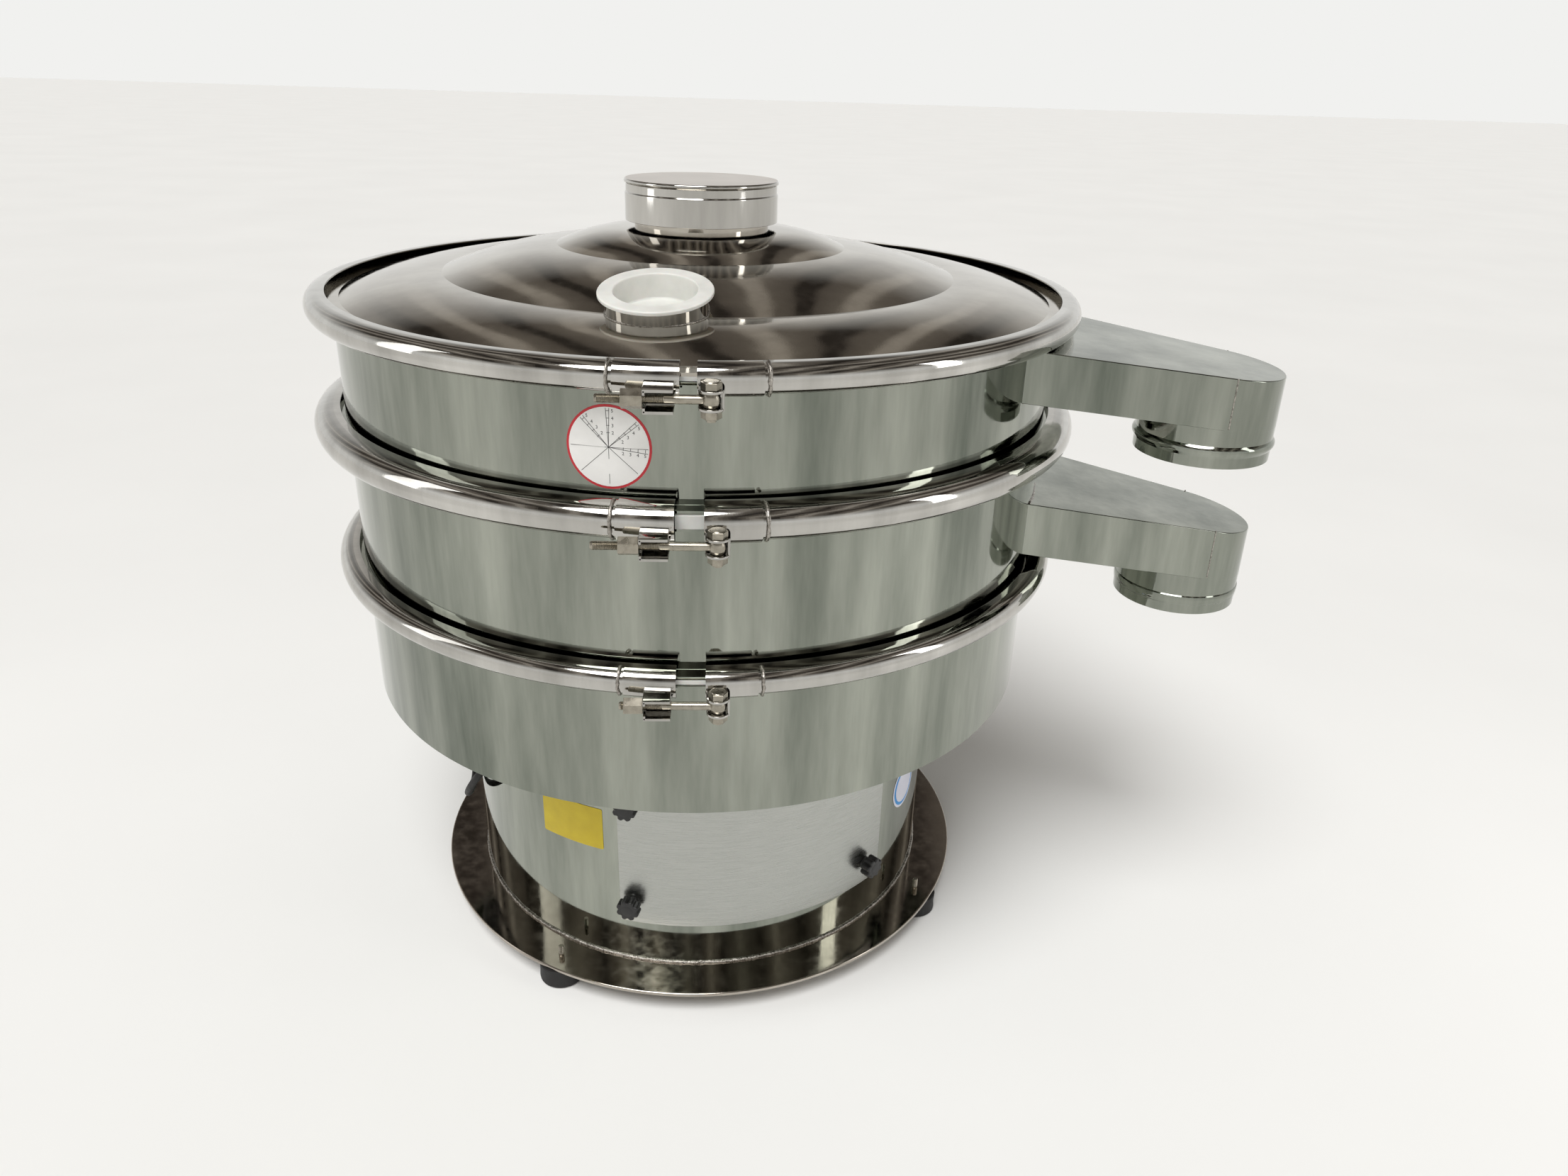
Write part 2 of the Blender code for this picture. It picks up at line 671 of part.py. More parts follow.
def make_vibrating_body():
    """The skirt barrel with the motor plate welded inside and a joint flange on top."""
    plate_top = MOTOR_PLATE_UNDER + MOTOR_PLATE
    profile = [
        (BARREL_IN_R, BODY_TOP), (JOINT_FLANGE_R, BODY_TOP), (JOINT_FLANGE_R, BODY_TOP - FLANGE_PLATE),
        (BARREL_R, BODY_TOP - FLANGE_PLATE), (BARREL_R, SKIRT_BOTTOM), (BARREL_IN_R, SKIRT_BOTTOM),
        (BARREL_IN_R, MOTOR_PLATE_UNDER), (MOTOR_HOLE_R, MOTOR_PLATE_UNDER), (MOTOR_HOLE_R, plate_top),
        (BARREL_IN_R, plate_top),
    ]
    body = big_turned("vibrating_body", profile, "polished_steel")
    for angle in spring_angles():
        peg = rod("upper_peg", SPRING_PEG_R, MOTOR_PLATE_UNDER - SPRING_PEG_HEIGHT,
                  MOTOR_PLATE_UNDER + MOTOR_PLATE / 2, PEG_STEPS, cutter=True)
        union(body, bake_place(peg, about_z(angle, SPRING_CIRCLE_R)))


def outlet_tangent(outlet):
    """Angle of the point where a duct wall meets the round end, and how far the wall slants inwards."""
    run = outlet["pipe_x"] - OUTLET_ROOT_X
    length = math.hypot(run, OUTLET_ROOT_HALF)
    slant = math.asin(OUTLET_END_R / length) - math.atan2(OUTLET_ROOT_HALF, run)
    return math.radians(90) + slant, slant


def outlet_outlines(outlet, start_x, offset):
    """Outline of the duct from start_x and of its round pipe, moved in by the wall offset."""
    touch, slant = outlet_tangent(outlet)
    half = OUTLET_ROOT_HALF - offset / math.cos(slant) - (start_x - OUTLET_ROOT_X) * math.tan(-slant)
    front = [touch * (2 * index / OUTLET_ARC_STEPS - 1) for index in range(OUTLET_ARC_STEPS + 1)]
    rest = math.tau - 2 * touch
    back = [touch + rest * index / OUTLET_BACK_STEPS for index in range(1, OUTLET_BACK_STEPS)]

    def round_about(radius, angle):
        return (outlet["pipe_x"] + radius * math.cos(angle), radius * math.sin(angle))

    end_r = OUTLET_END_R - offset
    duct = [(start_x, -half)] + [round_about(end_r, angle) for angle in front] + [(start_x, half)]
    pipe = [round_about(OUTLET_PIPE_R - offset, angle) for angle in front + back]
    return duct, pipe


def shear_down(item, slope):
    """Lower each point by the outlet's slope times its distance from the root."""
    for vertex in item.data.vertices:
        vertex.co.z -= (vertex.co.x - OUTLET_ROOT_X) * math.tan(slope)
    return item


def outlet_solids(outlet, root_top, start_x, offset, end_extra, cutter_name):
    """The sloping duct and the upright pipe under its round end, as one solid."""
    duct, pipe = outlet_outlines(outlet, start_x, offset)
    root_floor = root_top - outlet["depth"]
    fall = (outlet["pipe_x"] - OUTLET_ROOT_X) * math.tan(outlet["slope"])
    pipe_end = root_floor - fall - outlet["pipe_drop"] - end_extra
    body = outline_solid(cutter_name, duct, root_floor + offset, root_top - offset, cutter=True)
    shear_down(body, outlet["slope"])
    tube = outline_solid(cutter_name + "_pipe", pipe, pipe_end, root_top - fall - outlet["depth"] / 2,
                         cutter=True)
    return body, tube, pipe_end


def add_outlet(frame, outlet, frame_top):
    """Weld an outlet duct to a frame barrel and open it through the wall."""
    root_top = frame_top - outlet["below_top"]
    turn = Matrix.Rotation(outlet["angle"], 4, "Z")
    body, tube, end = outlet_solids(outlet, root_top, BARREL_R - OUTLET_END_R, 0, 0, "duct")
    union(body, tube)
    bead_top = end + BEAD_ABOVE_END + BEAD_HEIGHT
    bead_low = end + BEAD_ABOVE_END
    skin = OUTLET_PIPE_R - DUCT_WALL / 2
    proud = OUTLET_PIPE_R + BEAD_PROUD
    bead = turned("bead", [(skin, bead_top), (proud, bead_top - BEAD_PROUD), (proud, bead_low + BEAD_PROUD),
                           (skin, bead_low)], PIPE_STEPS, cutter=True)
    union(body, bake_place(bead, Matrix.Translation((outlet["pipe_x"], 0, 0))))
    bake_place(body, turn)
    trim_r = BARREL_R - BARREL_WALL / 2
    trim_top = root_top + outlet["depth"] / 2
    trim_low = end - OVERRUN
    trim = big_turned("trim", [(0, trim_top), (trim_r, trim_top), (trim_r, trim_low), (0, trim_low)],
                      cutter=True)
    cut(body, trim)
    union(frame, body)
    hollow, bore, _ = outlet_solids(outlet, root_top, OUTLET_MOUTH_X, DUCT_WALL, OVERRUN, "hollow")
    cut(frame, bake_place(hollow, turn))
    cut(frame, bake_place(bore, turn))


def dome_curve(edge_r, edge_z, rise):
    """Points of the collecting dome from its centre to its edge."""
    points = []
    for index in range(DOME_POINTS):
        share = index / DOME_POINTS
        points.append((edge_r * share, edge_z + rise * (1 - share * share)))
    return points + [(edge_r, edge_z)]


def make_lower_frame():
    """The barrel under the screen: a domed floor and the outlet for what passes the screen."""
    top, bottom = LOWER_FRAME_TOP, LOWER_FRAME_BOTTOM
    edge = bottom + DOME_EDGE_ABOVE_BOTTOM
    upper = dome_curve(BARREL_IN_R, edge, DOME_RISE)
    under = [(radius, height - DOME_PLATE) for radius, height in reversed(upper)]
    profile = upper + [
        (BARREL_IN_R, top), (JOINT_FLANGE_R, top), (JOINT_FLANGE_R, top - FLANGE_PLATE),
        (BARREL_R, top - FLANGE_PLATE), (BARREL_R, bottom + FLANGE_PLATE),
        (JOINT_FLANGE_R, bottom + FLANGE_PLATE), (JOINT_FLANGE_R, bottom), (BARREL_IN_R, bottom),
    ] + under
    frame = big_turned("lower_frame", profile, "polished_steel")
    add_outlet(frame, LOWER_OUTLET, top)


def make_upper_frame():
    """The barrel above the screen, with the outlet for what stays on the screen."""
    top, bottom = UPPER_FRAME_TOP, UPPER_FRAME_BOTTOM
    profile = [
        (BARREL_IN_R, top), (JOINT_FLANGE_R, top), (JOINT_FLANGE_R, top - FLANGE_PLATE),
        (BARREL_R, top - FLANGE_PLATE), (BARREL_R, bottom + FLANGE_PLATE),
        (JOINT_FLANGE_R, bottom + FLANGE_PLATE), (JOINT_FLANGE_R, bottom), (BARREL_IN_R, bottom),
    ]
    frame = big_turned("upper_frame", profile, "polished_steel")
    add_outlet(frame, UPPER_OUTLET, top)


# Seals and screen

def make_seals():
    """Flat silicone rings in the two plain joints."""
    for name, low in (("body_seal", BODY_TOP + SEAT), ("lid_seal", UPPER_FRAME_TOP + SEAT)):
        high = low + JOINT_SEAL
        big_turned(name, [
            (BARREL_IN_R, high), (JOINT_FLANGE_R, high), (JOINT_FLANGE_R, low), (BARREL_IN_R, low),
        ], "white_silicone")


def make_screen():
    """The screen frame, the wire cloth on it and the U seal round its edge."""
    low = SCREEN_FRAME_BOTTOM
    high = low + SCREEN_FRAME_PLATE
    big_turned("screen_frame", [(SCREEN_FRAME_HOLE_R, high), (JOINT_FLANGE_R, high), (JOINT_FLANGE_R, low),
                                (SCREEN_FRAME_HOLE_R, low)], "brushed_steel")
    cloth_low = high + SEAT
    cloth_high = cloth_low + SCREEN_MESH_PLATE
    big_turned("screen_mesh", [(0, cloth_high), (SCREEN_MESH_R, cloth_high), (SCREEN_MESH_R, cloth_low),
                               (0, cloth_low)], "screen_wire")
    outer = JOINT_FLANGE_R + SEAT + SCREEN_SEAL_OUT
    groove = JOINT_FLANGE_R + SEAT
    big_turned("screen_seal", [
        (SCREEN_SEAL_LIP_R, SCREEN_SEAL_TOP), (outer, SCREEN_SEAL_TOP), (outer, SCREEN_SEAL_BOTTOM),
        (SCREEN_SEAL_LIP_R, SCREEN_SEAL_BOTTOM), (SCREEN_SEAL_LIP_R, low - SEAT), (groove, low - SEAT),
        (groove, high + SEAT), (SCREEN_SEAL_LIP_R, high + SEAT),
    ], "white_silicone")


# Lid

def lid_zone(inner_r, inner_rise, outer_r, outer_rise, count):
    """Points between two creases of the lid, crowned above the straight line."""
    points = []
    for index in range(1, count + 1):
        share = index / (count + 1)
        lift = LID_ZONE_CROWN * 4 * share * (1 - share)
        points.append((inner_r + (outer_r - inner_r) * share,
                       LID_BOTTOM + inner_rise + (outer_rise - inner_rise) * share + lift))
    return points


def port_place():
    """A frame at the foot of the port on the lid, with Z along the port's tube."""
    run = (PORT_CENTRE_R - LID_INNER_CREASE_R) / (LID_OUTER_CREASE_R - LID_INNER_CREASE_R)
    rise = LID_INNER_CREASE_RISE + (LID_OUTER_CREASE_RISE - LID_INNER_CREASE_RISE) * run
    return about_z(PORT_ANGLE, PORT_CENTRE_R, LID_BOTTOM + rise) @ Matrix.Rotation(PORT_TILT, 4, "Y")


def make_lid():
    """The stepped dome with the feed neck, the port tube and the joint flange."""
    crown = [(NECK_R, LID_BOTTOM + NECK_FOOT_RISE)]
    crown += lid_zone(NECK_R, NECK_FOOT_RISE, LID_INNER_CREASE_R, LID_INNER_CREASE_RISE, 1)
    crown += [(LID_INNER_CREASE_R, LID_BOTTOM + LID_INNER_CREASE_RISE)]
    crown += lid_zone(LID_INNER_CREASE_R, LID_INNER_CREASE_RISE, LID_OUTER_CREASE_R,
                      LID_OUTER_CREASE_RISE, 1)
    crown += [(LID_OUTER_CREASE_R, LID_BOTTOM + LID_OUTER_CREASE_RISE)]
    crown += lid_zone(LID_OUTER_CREASE_R, LID_OUTER_CREASE_RISE, LID_EDGE_R, LID_EDGE_RISE, 1)
    neck_top = LID_BOTTOM + NECK_TOP_RISE
    flange_low = neck_top - NECK_FLANGE_PLATE
    under = [(radius, height - DOME_PLATE) for radius, height in reversed(crown[1:])]
    neck_in = NECK_R - NECK_WALL
    profile = [(neck_in, neck_top), (NECK_FLANGE_R, neck_top), (NECK_FLANGE_R, flange_low),
               (NECK_R, flange_low)] + crown + [
        (LID_EDGE_R, LID_FLANGE_TOP), (JOINT_FLANGE_R, LID_FLANGE_TOP), (JOINT_FLANGE_R, LID_BOTTOM),
        (LID_EDGE_R - DOME_PLATE, LID_BOTTOM)] + under + [(neck_in, crown[0][1] - DOME_PLATE)]
    lid = big_turned("lid", profile, "polished_steel")
    tube = rod("port_tube", PORT_TUBE_R, -PORT_SUNK, PORT_RISE, PIPE_STEPS, cutter=True)
    union(lid, bake_place(tube, port_place()))
    bore = rod("port_bore", PORT_TUBE_R - PORT_TUBE_WALL, -PORT_SUNK - OVERRUN, PORT_RISE + OVERRUN,
               PIPE_STEPS, cutter=True)
    cut(lid, bake_place(bore, port_place()))


def make_feed_cap():
    """The turned cap over the feed neck."""
    low = LID_BOTTOM + NECK_TOP_RISE + SEAT + CAP_PLATE - CAP_HEIGHT
    top = low + CAP_HEIGHT
    inner = CAP_BAND_R - CAP_WALL
    turned("feed_cap", [
        (0, top), (CAP_TOP_R - CAP_EDGE, top), (CAP_TOP_R, top - CAP_EDGE),
        (CAP_TOP_R, top - CAP_BEAD_HEIGHT), (CAP_GROOVE_R, top - CAP_GROOVE_TOP),
        (CAP_GROOVE_R, top - CAP_GROOVE_BOTTOM), (CAP_BAND_R, top - CAP_GROOVE_BOTTOM - CAP_STEP),
        (CAP_BAND_R, low), (inner, low), (inner, top - CAP_PLATE), (0, top - CAP_PLATE),
    ], CAP_STEPS, "polished_steel")


def make_port_plug():
    """The white cup plug in the observation port."""
    seat = PORT_RISE + SEAT
    top = seat + PLUG_FLANGE_HEIGHT
    outer = PORT_TUBE_R - PORT_TUBE_WALL - SEAT
    floor = top - PLUG_DEPTH
    plug = turned("port_plug", [
        (0, floor + PLUG_FLOOR), (PLUG_MOUTH_R - PLUG_TAPER, floor + PLUG_FLOOR),
        (PLUG_MOUTH_R, top - PLUG_FLANGE_HEIGHT), (PLUG_MOUTH_R + PLUG_ROUND, top),
        (PLUG_FLANGE_R - PLUG_ROUND, top), (PLUG_FLANGE_R, top - PLUG_ROUND),
        (PLUG_FLANGE_R, seat), (outer, seat), (outer - PLUG_TAPER, floor), (0, floor),
    ], PIPE_STEPS, "white_silicone")
    bake_place(plug, port_place())


# Clamp rings and closures

def clamp_levels():
    """Height, half stack of the clamped flanges and bulge of each ring."""
    plain = FLANGE_PLATE + SEAT + JOINT_SEAL / 2
    deck = (SCREEN_SEAL_TOP - SCREEN_SEAL_BOTTOM) / 2 + SEAT + FLANGE_PLATE
    return {
        1: (UPPER_FRAME_TOP + SEAT + JOINT_SEAL / 2, plain, CLAMP_BULGE),
        2: ((SCREEN_SEAL_TOP + SCREEN_SEAL_BOTTOM) / 2, deck, SCREEN_CLAMP_BULGE),
        3: (BODY_TOP + SEAT + JOINT_SEAL / 2, plain, CLAMP_BULGE),
    }


def clamp_face(half, bulge, out):
    """The round outer face of a clamp ring from its top strip to its lower edge, moved out by a distance."""
    top = half + CLAMP_LIP_RISE
    face = [(JOINT_FLANGE_R + bulge * wide + out, top * up) for wide, up in CLAMP_FACE_SHARES]
    return face + [(CLAMP_UNDER_R, -top - out)]


def clamp_profile(level, half, bulge):
    """Section of a clamp ring: a flat strip at the barrel, a round outer face and a V seat."""
    top = half + CLAMP_LIP_RISE
    edge = JOINT_FLANGE_R
    outer = [(CLAMP_LIP_R, top), (CLAMP_LIP_R + CLAMP_STRIP, top)] + clamp_face(half, bulge, 0)
    inner = [
        (CLAMP_UNDER_R, -top + CLAMP_SHEET), (edge + SEAT, -half - SEAT), (edge + bulge - CLAMP_SHEET, 0),
        (edge + SEAT, half + SEAT), (CLAMP_LIP_R, top - CLAMP_SHEET),
    ]
    return [(radius, level + height) for radius, height in outer + inner]


def sleeve_profile(level, half, bulge):
    """Section of the sleeve over a ring's end: a skin that stands proud of the round face."""
    skin = clamp_face(half, bulge, SLEEVE_PROUD) + clamp_face(half, bulge, -CLAMP_SHEET / 2)[::-1]
    return [(radius, level + height) for radius, height in skin]


def at_front(x, radius, height):
    """Maps a section of (outward, up) points, extruded along Z, to the closure at the front.

    The section's extrusion runs towards -X, and its origin lands at x, at a radius in front of the axis.
    """
    return Matrix(((0, 0, -1, x), (-1, 0, 0, -radius), (0, 1, 0, height), (0, 0, 0, 1)))


def closure_places(number):
    """Radius of the swing bolt, its height, and where the pivot and the bracket's two ends are along X."""
    level, _, bulge = clamp_levels()[number]
    half_gap = CLAMP_GAPS[number] / 2
    pivot_x = half_gap + CLEVIS_INSET
    bracket_right = -half_gap - BRACKET_INSET
    return (JOINT_FLANGE_R + bulge + CLOSURE_PROUD, level - CLOSURE_DROP, pivot_x, bracket_right,
            bracket_right - BRACKET_WIDTH)


def channel(name, length, root, web, mouth, beyond, plate, crest):
    """A channel open outwards: its section is in (outward, up) from the swing bolt's centre line."""
    section = [
        (root, crest), (root + web, crest), (beyond, mouth + plate), (beyond, mouth), (root + web, mouth),
        (root + web, -mouth), (beyond, -mouth), (beyond, -mouth - plate), (root, -mouth - plate),
    ]
    return outline_solid(name, section, 0, length, cutter=True)


def make_bracket(number):
    """The sheet bracket that the long nut bears on, and the slotted plate at the nut's end."""
    radius, height, _, right, left = closure_places(number)
    root = -CLOSURE_PROUD - CLOSURE_SUNK
    body = channel("bracket", right - left, root, BRACKET_WEB, BRACKET_MOUTH_HALF, BRACKET_BEYOND,
                   BRACKET_PLATE, BRACKET_CREST)
    slot = SWING_ROD_R + BRACKET_SLOT_FIT
    end = channel("bracket_end", BRACKET_PLATE, root, -slot - root, slot, BRACKET_BEYOND,
                  BRACKET_MOUTH_HALF + BRACKET_PLATE / 2 - slot, BRACKET_CREST - BRACKET_PLATE)
    bake_place(body, at_front(right, radius, height))
    bake_place(end, at_front(left + BRACKET_PLATE, radius, height))
    return body, end


def make_clevis(number):
    """The clevis that holds the pivot bolt: two plates with a back and a right-hand web."""
    radius, height, pivot_x, _, _ = closure_places(number)
    root = -CLOSURE_PROUD - CLOSURE_SUNK
    tall = CLEVIS_MOUTH_HALF + CLEVIS_PLATE
    right = pivot_x + CLEVIS_HALF
    left = pivot_x - CLEVIS_HALF
    block = box("clevis", (left, -radius - CLEVIS_BEYOND, height - tall),
                (right, -radius - root, height + tall), cutter=True)
    pocket = box("clevis_mouth",
                 (left - OVERRUN, -radius - CLEVIS_BEYOND - OVERRUN, height - CLEVIS_MOUTH_HALF),
                 (right - CLEVIS_PLATE, -radius - root - CLEVIS_PLATE, height + CLEVIS_MOUTH_HALF),
                 cutter=True)
    hole = rod("pivot_hole", PIVOT_R + PIVOT_FIT, height - tall - OVERRUN, height + tall + OVERRUN,
               ROD_STEPS, cutter=True)
    return cut(block, pocket, bake_place(hole, Matrix.Translation((pivot_x, -radius, 0))))


def make_clamp_rings():
    """Split clamp rings with end sleeves, and the bracket and the clevis of their closure."""
    for number, (level, half, bulge) in clamp_levels().items():
        ring = big_turned(f"clamp_ring_{number}", clamp_profile(level, half, bulge), "polished_steel")
        sleeve = big_turned("sleeve", sleeve_profile(level, half, bulge), cutter=True, steps=SLEEVE_STEPS)
        half_gap = CLAMP_GAPS[number] / 2
        tall = half + CLAMP_LIP_RISE + SLEEVE_PROUD + OVERRUN
        front = -JOINT_FLANGE_R - bulge - SLEEVE_PROUD - OVERRUN
        for piece in (ring, sleeve):
            cut(piece, box("closure_gap", (-half_gap, front, level - tall),
                           (half_gap, -BARREL_R / 2, level + tall), cutter=True))
        union(ring, sleeve, *make_bracket(number), make_clevis(number))


def make_pivot(number):
    """The hexagon bolt and nut through the clevis and the swing bolt's eye."""
    radius, height, pivot_x, _, _ = closure_places(number)
    seat = CLEVIS_MOUTH_HALF + CLEVIS_PLATE + SEAT
    bolt = rod(f"closure_pivot_{number}", PIVOT_R, height - seat - PIVOT_NUT_HEIGHT / 2,
               height + seat + PIVOT_HEAD_HEIGHT / 2, ROD_STEPS, "zinc_steel")
    head = rod("head", PIVOT_HEAD_R, height + seat, height + seat + PIVOT_HEAD_HEIGHT, HEX, cutter=True)
    nut = rod("nut", PIVOT_HEAD_R, height - seat - PIVOT_NUT_HEIGHT, height - seat, HEX, cutter=True)
    union(bolt, head, nut)
    bake_place(bolt, Matrix.Translation((pivot_x, -radius, 0)))


def make_swing_bolt(number):
    """The eye bolt that swings out of the bracket, drawn from its eye along -X."""
    radius, height, pivot_x, _, _ = closure_places(number)
    swing = rod(f"swing_bolt_{number}", SWING_EYE_R, -SWING_EYE_HALF, SWING_EYE_HALF, PIPE_STEPS,
                "zinc_steel")
    shank = rod("shank", SWING_ROD_R, PIVOT_R + PIVOT_FIT, SWING_ROD_LENGTHS[number], ROD_STEPS, cutter=True)
    union(swing, bake_place(shank, Matrix.Rotation(math.radians(-90), 4, "Y")))
    eye = rod("eye", PIVOT_R + PIVOT_FIT, -SWING_EYE_HALF - OVERRUN, SWING_EYE_HALF + OVERRUN, ROD_STEPS,
              cutter=True)
    cut(swing, eye)
    swing.location = (pivot_x, -radius, height)


def make_clamp_nut(number):
    """The long hexagon nut on the swing bolt, against the bracket's end."""
    radius, height, pivot_x, _, left = closure_places(number)
    start = pivot_x - left + SEAT
    end = start + CLAMP_NUT_LENGTH
    nut = rod(f"clamp_nut_{number}", CLAMP_NUT_R, start, end, HEX, "zinc_steel")
    bore = rod("nut_bore", SWING_ROD_R + CLAMP_NUT_FIT, start - OVERRUN, end + OVERRUN, ROD_STEPS,
               cutter=True)
    cut(nut, bore)
    bake_place(nut, Matrix.Rotation(math.radians(-90), 4, "Y"))
    nut.location = (pivot_x, -radius, height)


def make_closures():
    """Pivot bolt, swing bolt and long nut of each clamp ring."""
    for number in CLAMP_GAPS:
        make_pivot(number)
        make_swing_bolt(number)
        make_clamp_nut(number)


# Motor

def motor_levels():
    flange_top = MOTOR_PLATE_UNDER - SEAT
    return flange_top + MOTOR_ABOVE_FLANGE, flange_top, flange_top - MOTOR_BELOW_FLANGE


def make_motor():
    """The vertical motor: housing with stator, end shields, bearings, rotor and weights."""
    top, flange_top, bottom = motor_levels()
    flange_low = flange_top - MOTOR_FLANGE_PLATE
    housing = turned("motor_housing", [
        (MOTOR_BORE_R, top), (MOTOR_R, top), (MOTOR_R, flange_top), (MOTOR_FLANGE_R, flange_top),
        (MOTOR_FLANGE_R, flange_low), (MOTOR_R, flange_low), (MOTOR_R, bottom), (MOTOR_BORE_R, bottom),
    ], MOTOR_STEPS, "cast_iron")
    half = TERMINAL_BOX_SIZE[0] / 2
    deep = MOTOR_R + TERMINAL_BOX_SIZE[1]
    lid_z = (flange_low + bottom) / 2
    tall = TERMINAL_BOX_SIZE[2] / 2
    block = box("terminal_box", (-half, MOTOR_R / 2 + MOTOR_BORE_R / 2, lid_z - tall),
                (half, deep, lid_z + tall), cutter=True)
    union(housing, block)
    hub_in = BEARING_R + SEAT
    bearing_bore = running_bore(SHAFT_R, MOTOR_STEPS)
    for name, face, sign in (("top", top, 1), ("bottom", bottom, -1)):
        near = face + sign * SEAT
        far = near + sign * SHIELD_PLATE
        hub = far + sign * SHIELD_HUB_HEIGHT
        ring = [(hub_in, near), (MOTOR_R, near), (MOTOR_R, far), (SHIELD_HUB_R, far),
                (SHIELD_HUB_R, hub), (hub_in, hub)]
        if sign > 0:
            ring.reverse()
        turned(f"motor_end_shield_{name}", ring, MOTOR_STEPS, "cast_iron")
        low = min(near, near + sign * BEARING_HEIGHT)
        high = low + BEARING_HEIGHT
        turned(f"motor_bearing_{name}", [
            (bearing_bore, high), (BEARING_R, high), (BEARING_R, low), (bearing_bore, low),
        ], MOTOR_STEPS, "zinc_steel")
    shaft_top = top + SHAFT_BEYOND
    shaft_low = bottom - SHAFT_BEYOND
    core_top = top - ROTOR_END_GAP
    core_low = bottom + ROTOR_END_GAP
    turned("rotor_shaft", [(0, shaft_top), (SHAFT_R, shaft_top), (SHAFT_R, core_top), (ROTOR_R, core_top),
                           (ROTOR_R, core_low), (SHAFT_R, core_low), (SHAFT_R, shaft_low), (0, shaft_low)],
           MOTOR_STEPS, "zinc_steel")
    hub_face = SEAT + SHIELD_PLATE + SHIELD_HUB_HEIGHT + SEAT * 2
    upper_low = top + hub_face
    make_weight("upper_weight", upper_low, 0)
    lower_high = bottom - hub_face
    make_weight("lower_weight", lower_high - WEIGHT_PLATE / 2, 0, WEIGHT_PLATE / 2)
    make_weight("lower_phase_weight", lower_high - WEIGHT_PLATE - SEAT, WEIGHT_LEAD_ANGLE, WEIGHT_PLATE / 2)


def make_weight(name, low, turn, thickness=WEIGHT_PLATE):
    """A sector-shaped eccentric weight with a hub that is bored for the shaft."""
    step = 2 * WEIGHT_HALF_ANGLE / WEIGHT_SWEEP_STEPS
    arc = [step * index - WEIGHT_HALF_ANGLE for index in range(WEIGHT_SWEEP_STEPS + 1)]
    outline = [(WEIGHT_R * math.cos(angle), WEIGHT_R * math.sin(angle)) for angle in arc]
    outline += [(WEIGHT_HUB_R * math.cos(angle), WEIGHT_HUB_R * math.sin(angle))
                for angle in WEIGHT_HUB_ANGLES]
    weight = outline_solid(name, outline, low, low + thickness, "cast_iron")
    bore = rod("shaft_bore", running_bore(SHAFT_R, MOTOR_STEPS), low - OVERRUN,
               low + thickness + OVERRUN, MOTOR_STEPS, cutter=True)
    cut(weight, bore)
    bake_place(weight, Matrix.Rotation(turn, 4, "Z"))


# Motor lead

def make_lead():
    """Grommet in the drum wall, the slack lead and the connector block that it ends in."""
    wall_in = DRUM_R - BARREL_WALL
    back = DRUM_R + SEAT
    neck = GROMMET_R - GROMMET_GROOVE
    bore = LEAD_R + SEAT
    grommet = turned("lead_grommet", [
        (bore, DRUM_R + GROMMET_OUT), (neck, DRUM_R + GROMMET_OUT), (GROMMET_R, DRUM_R + SEAT),
        (neck, DRUM_R + SEAT), (neck, wall_in - SEAT * 4), (GROMMET_R, wall_in - SEAT * 4),
        (GROMMET_R, wall_in - GROMMET_IN), (bore, wall_in - GROMMET_IN),
    ], ROD_STEPS, "black_rubber")
    bake_place(grommet, radial(GROMMET_ANGLE, GROMMET_Z))
    wide, deep, tall = CONNECTOR_SIZE
    block = box("lead_connector", (back, -wide / 2, -tall / 2), (back + deep, wide / 2, tall / 2),
                "black_plastic")
    bake_place(block, about_z(CONNECTOR_ANGLE, 0, CONNECTOR_Z))
    start = about_z(GROMMET_ANGLE, wall_in - GROMMET_IN, GROMMET_Z).to_translation()
    out = about_z(GROMMET_ANGLE, DRUM_R + GROMMET_OUT + LEAD_STRAIGHT, GROMMET_Z).to_translation()
    end = about_z(CONNECTOR_ANGLE, back + deep / 2, CONNECTOR_Z - tall / 2 - SEAT).to_translation()
    route = lead_route(start, out, end)
    curve = bpy.data.curves.new("motor_lead", "CURVE")
    curve.dimensions = "3D"
    curve.bevel_depth = LEAD_R
    curve.bevel_resolution = 2
    curve.use_fill_caps = True
    spline = curve.splines.new("POLY")
    spline.points.add(len(route) - 1)
    for point, place in zip(spline.points, route):
        point.co = (*place, 1)
    curve.materials.append(finish_material("motor_lead_finish", *FINISHES["black_rubber"]))
    lead = bpy.data.objects.new("motor_lead", curve)
    bpy.data.collections[COLLECTION].objects.link(lead)


def lead_route(start, out, end):
    """A smooth loop: straight out of the grommet, down, and straight up into the connector."""
    away = (out - start).normalized()
    rise = Vector((0, 0, LEAD_STRAIGHT))
    last = end - rise
    first = out + away * LEAD_PULL - Vector((0, 0, LEAD_DROP))
    second = last - Vector((0, 0, LEAD_SAG))
    points = [start]
    for index in range(LEAD_STEPS + 1):
        share = index / LEAD_STEPS
        rest = 1 - share
        points.append(out * rest ** 3 + first * 3 * rest * rest * share
                      + second * 3 * rest * share * share + last * share ** 3)
    return points + [end]


def main():
    fresh_scene()
    make_feet()
    make_base_flange()
    make_base_drum()
    make_door()
    make_knobs()
    make_springs()
    make_vibrating_body()
    make_motor()
    make_lower_frame()
    make_upper_frame()
    make_seals()
    make_screen()
    make_lid()
    make_feed_cap()
    make_port_plug()
    make_clamp_rings()
    make_closures()
    make_lead()
    stand_on_origin()


main()
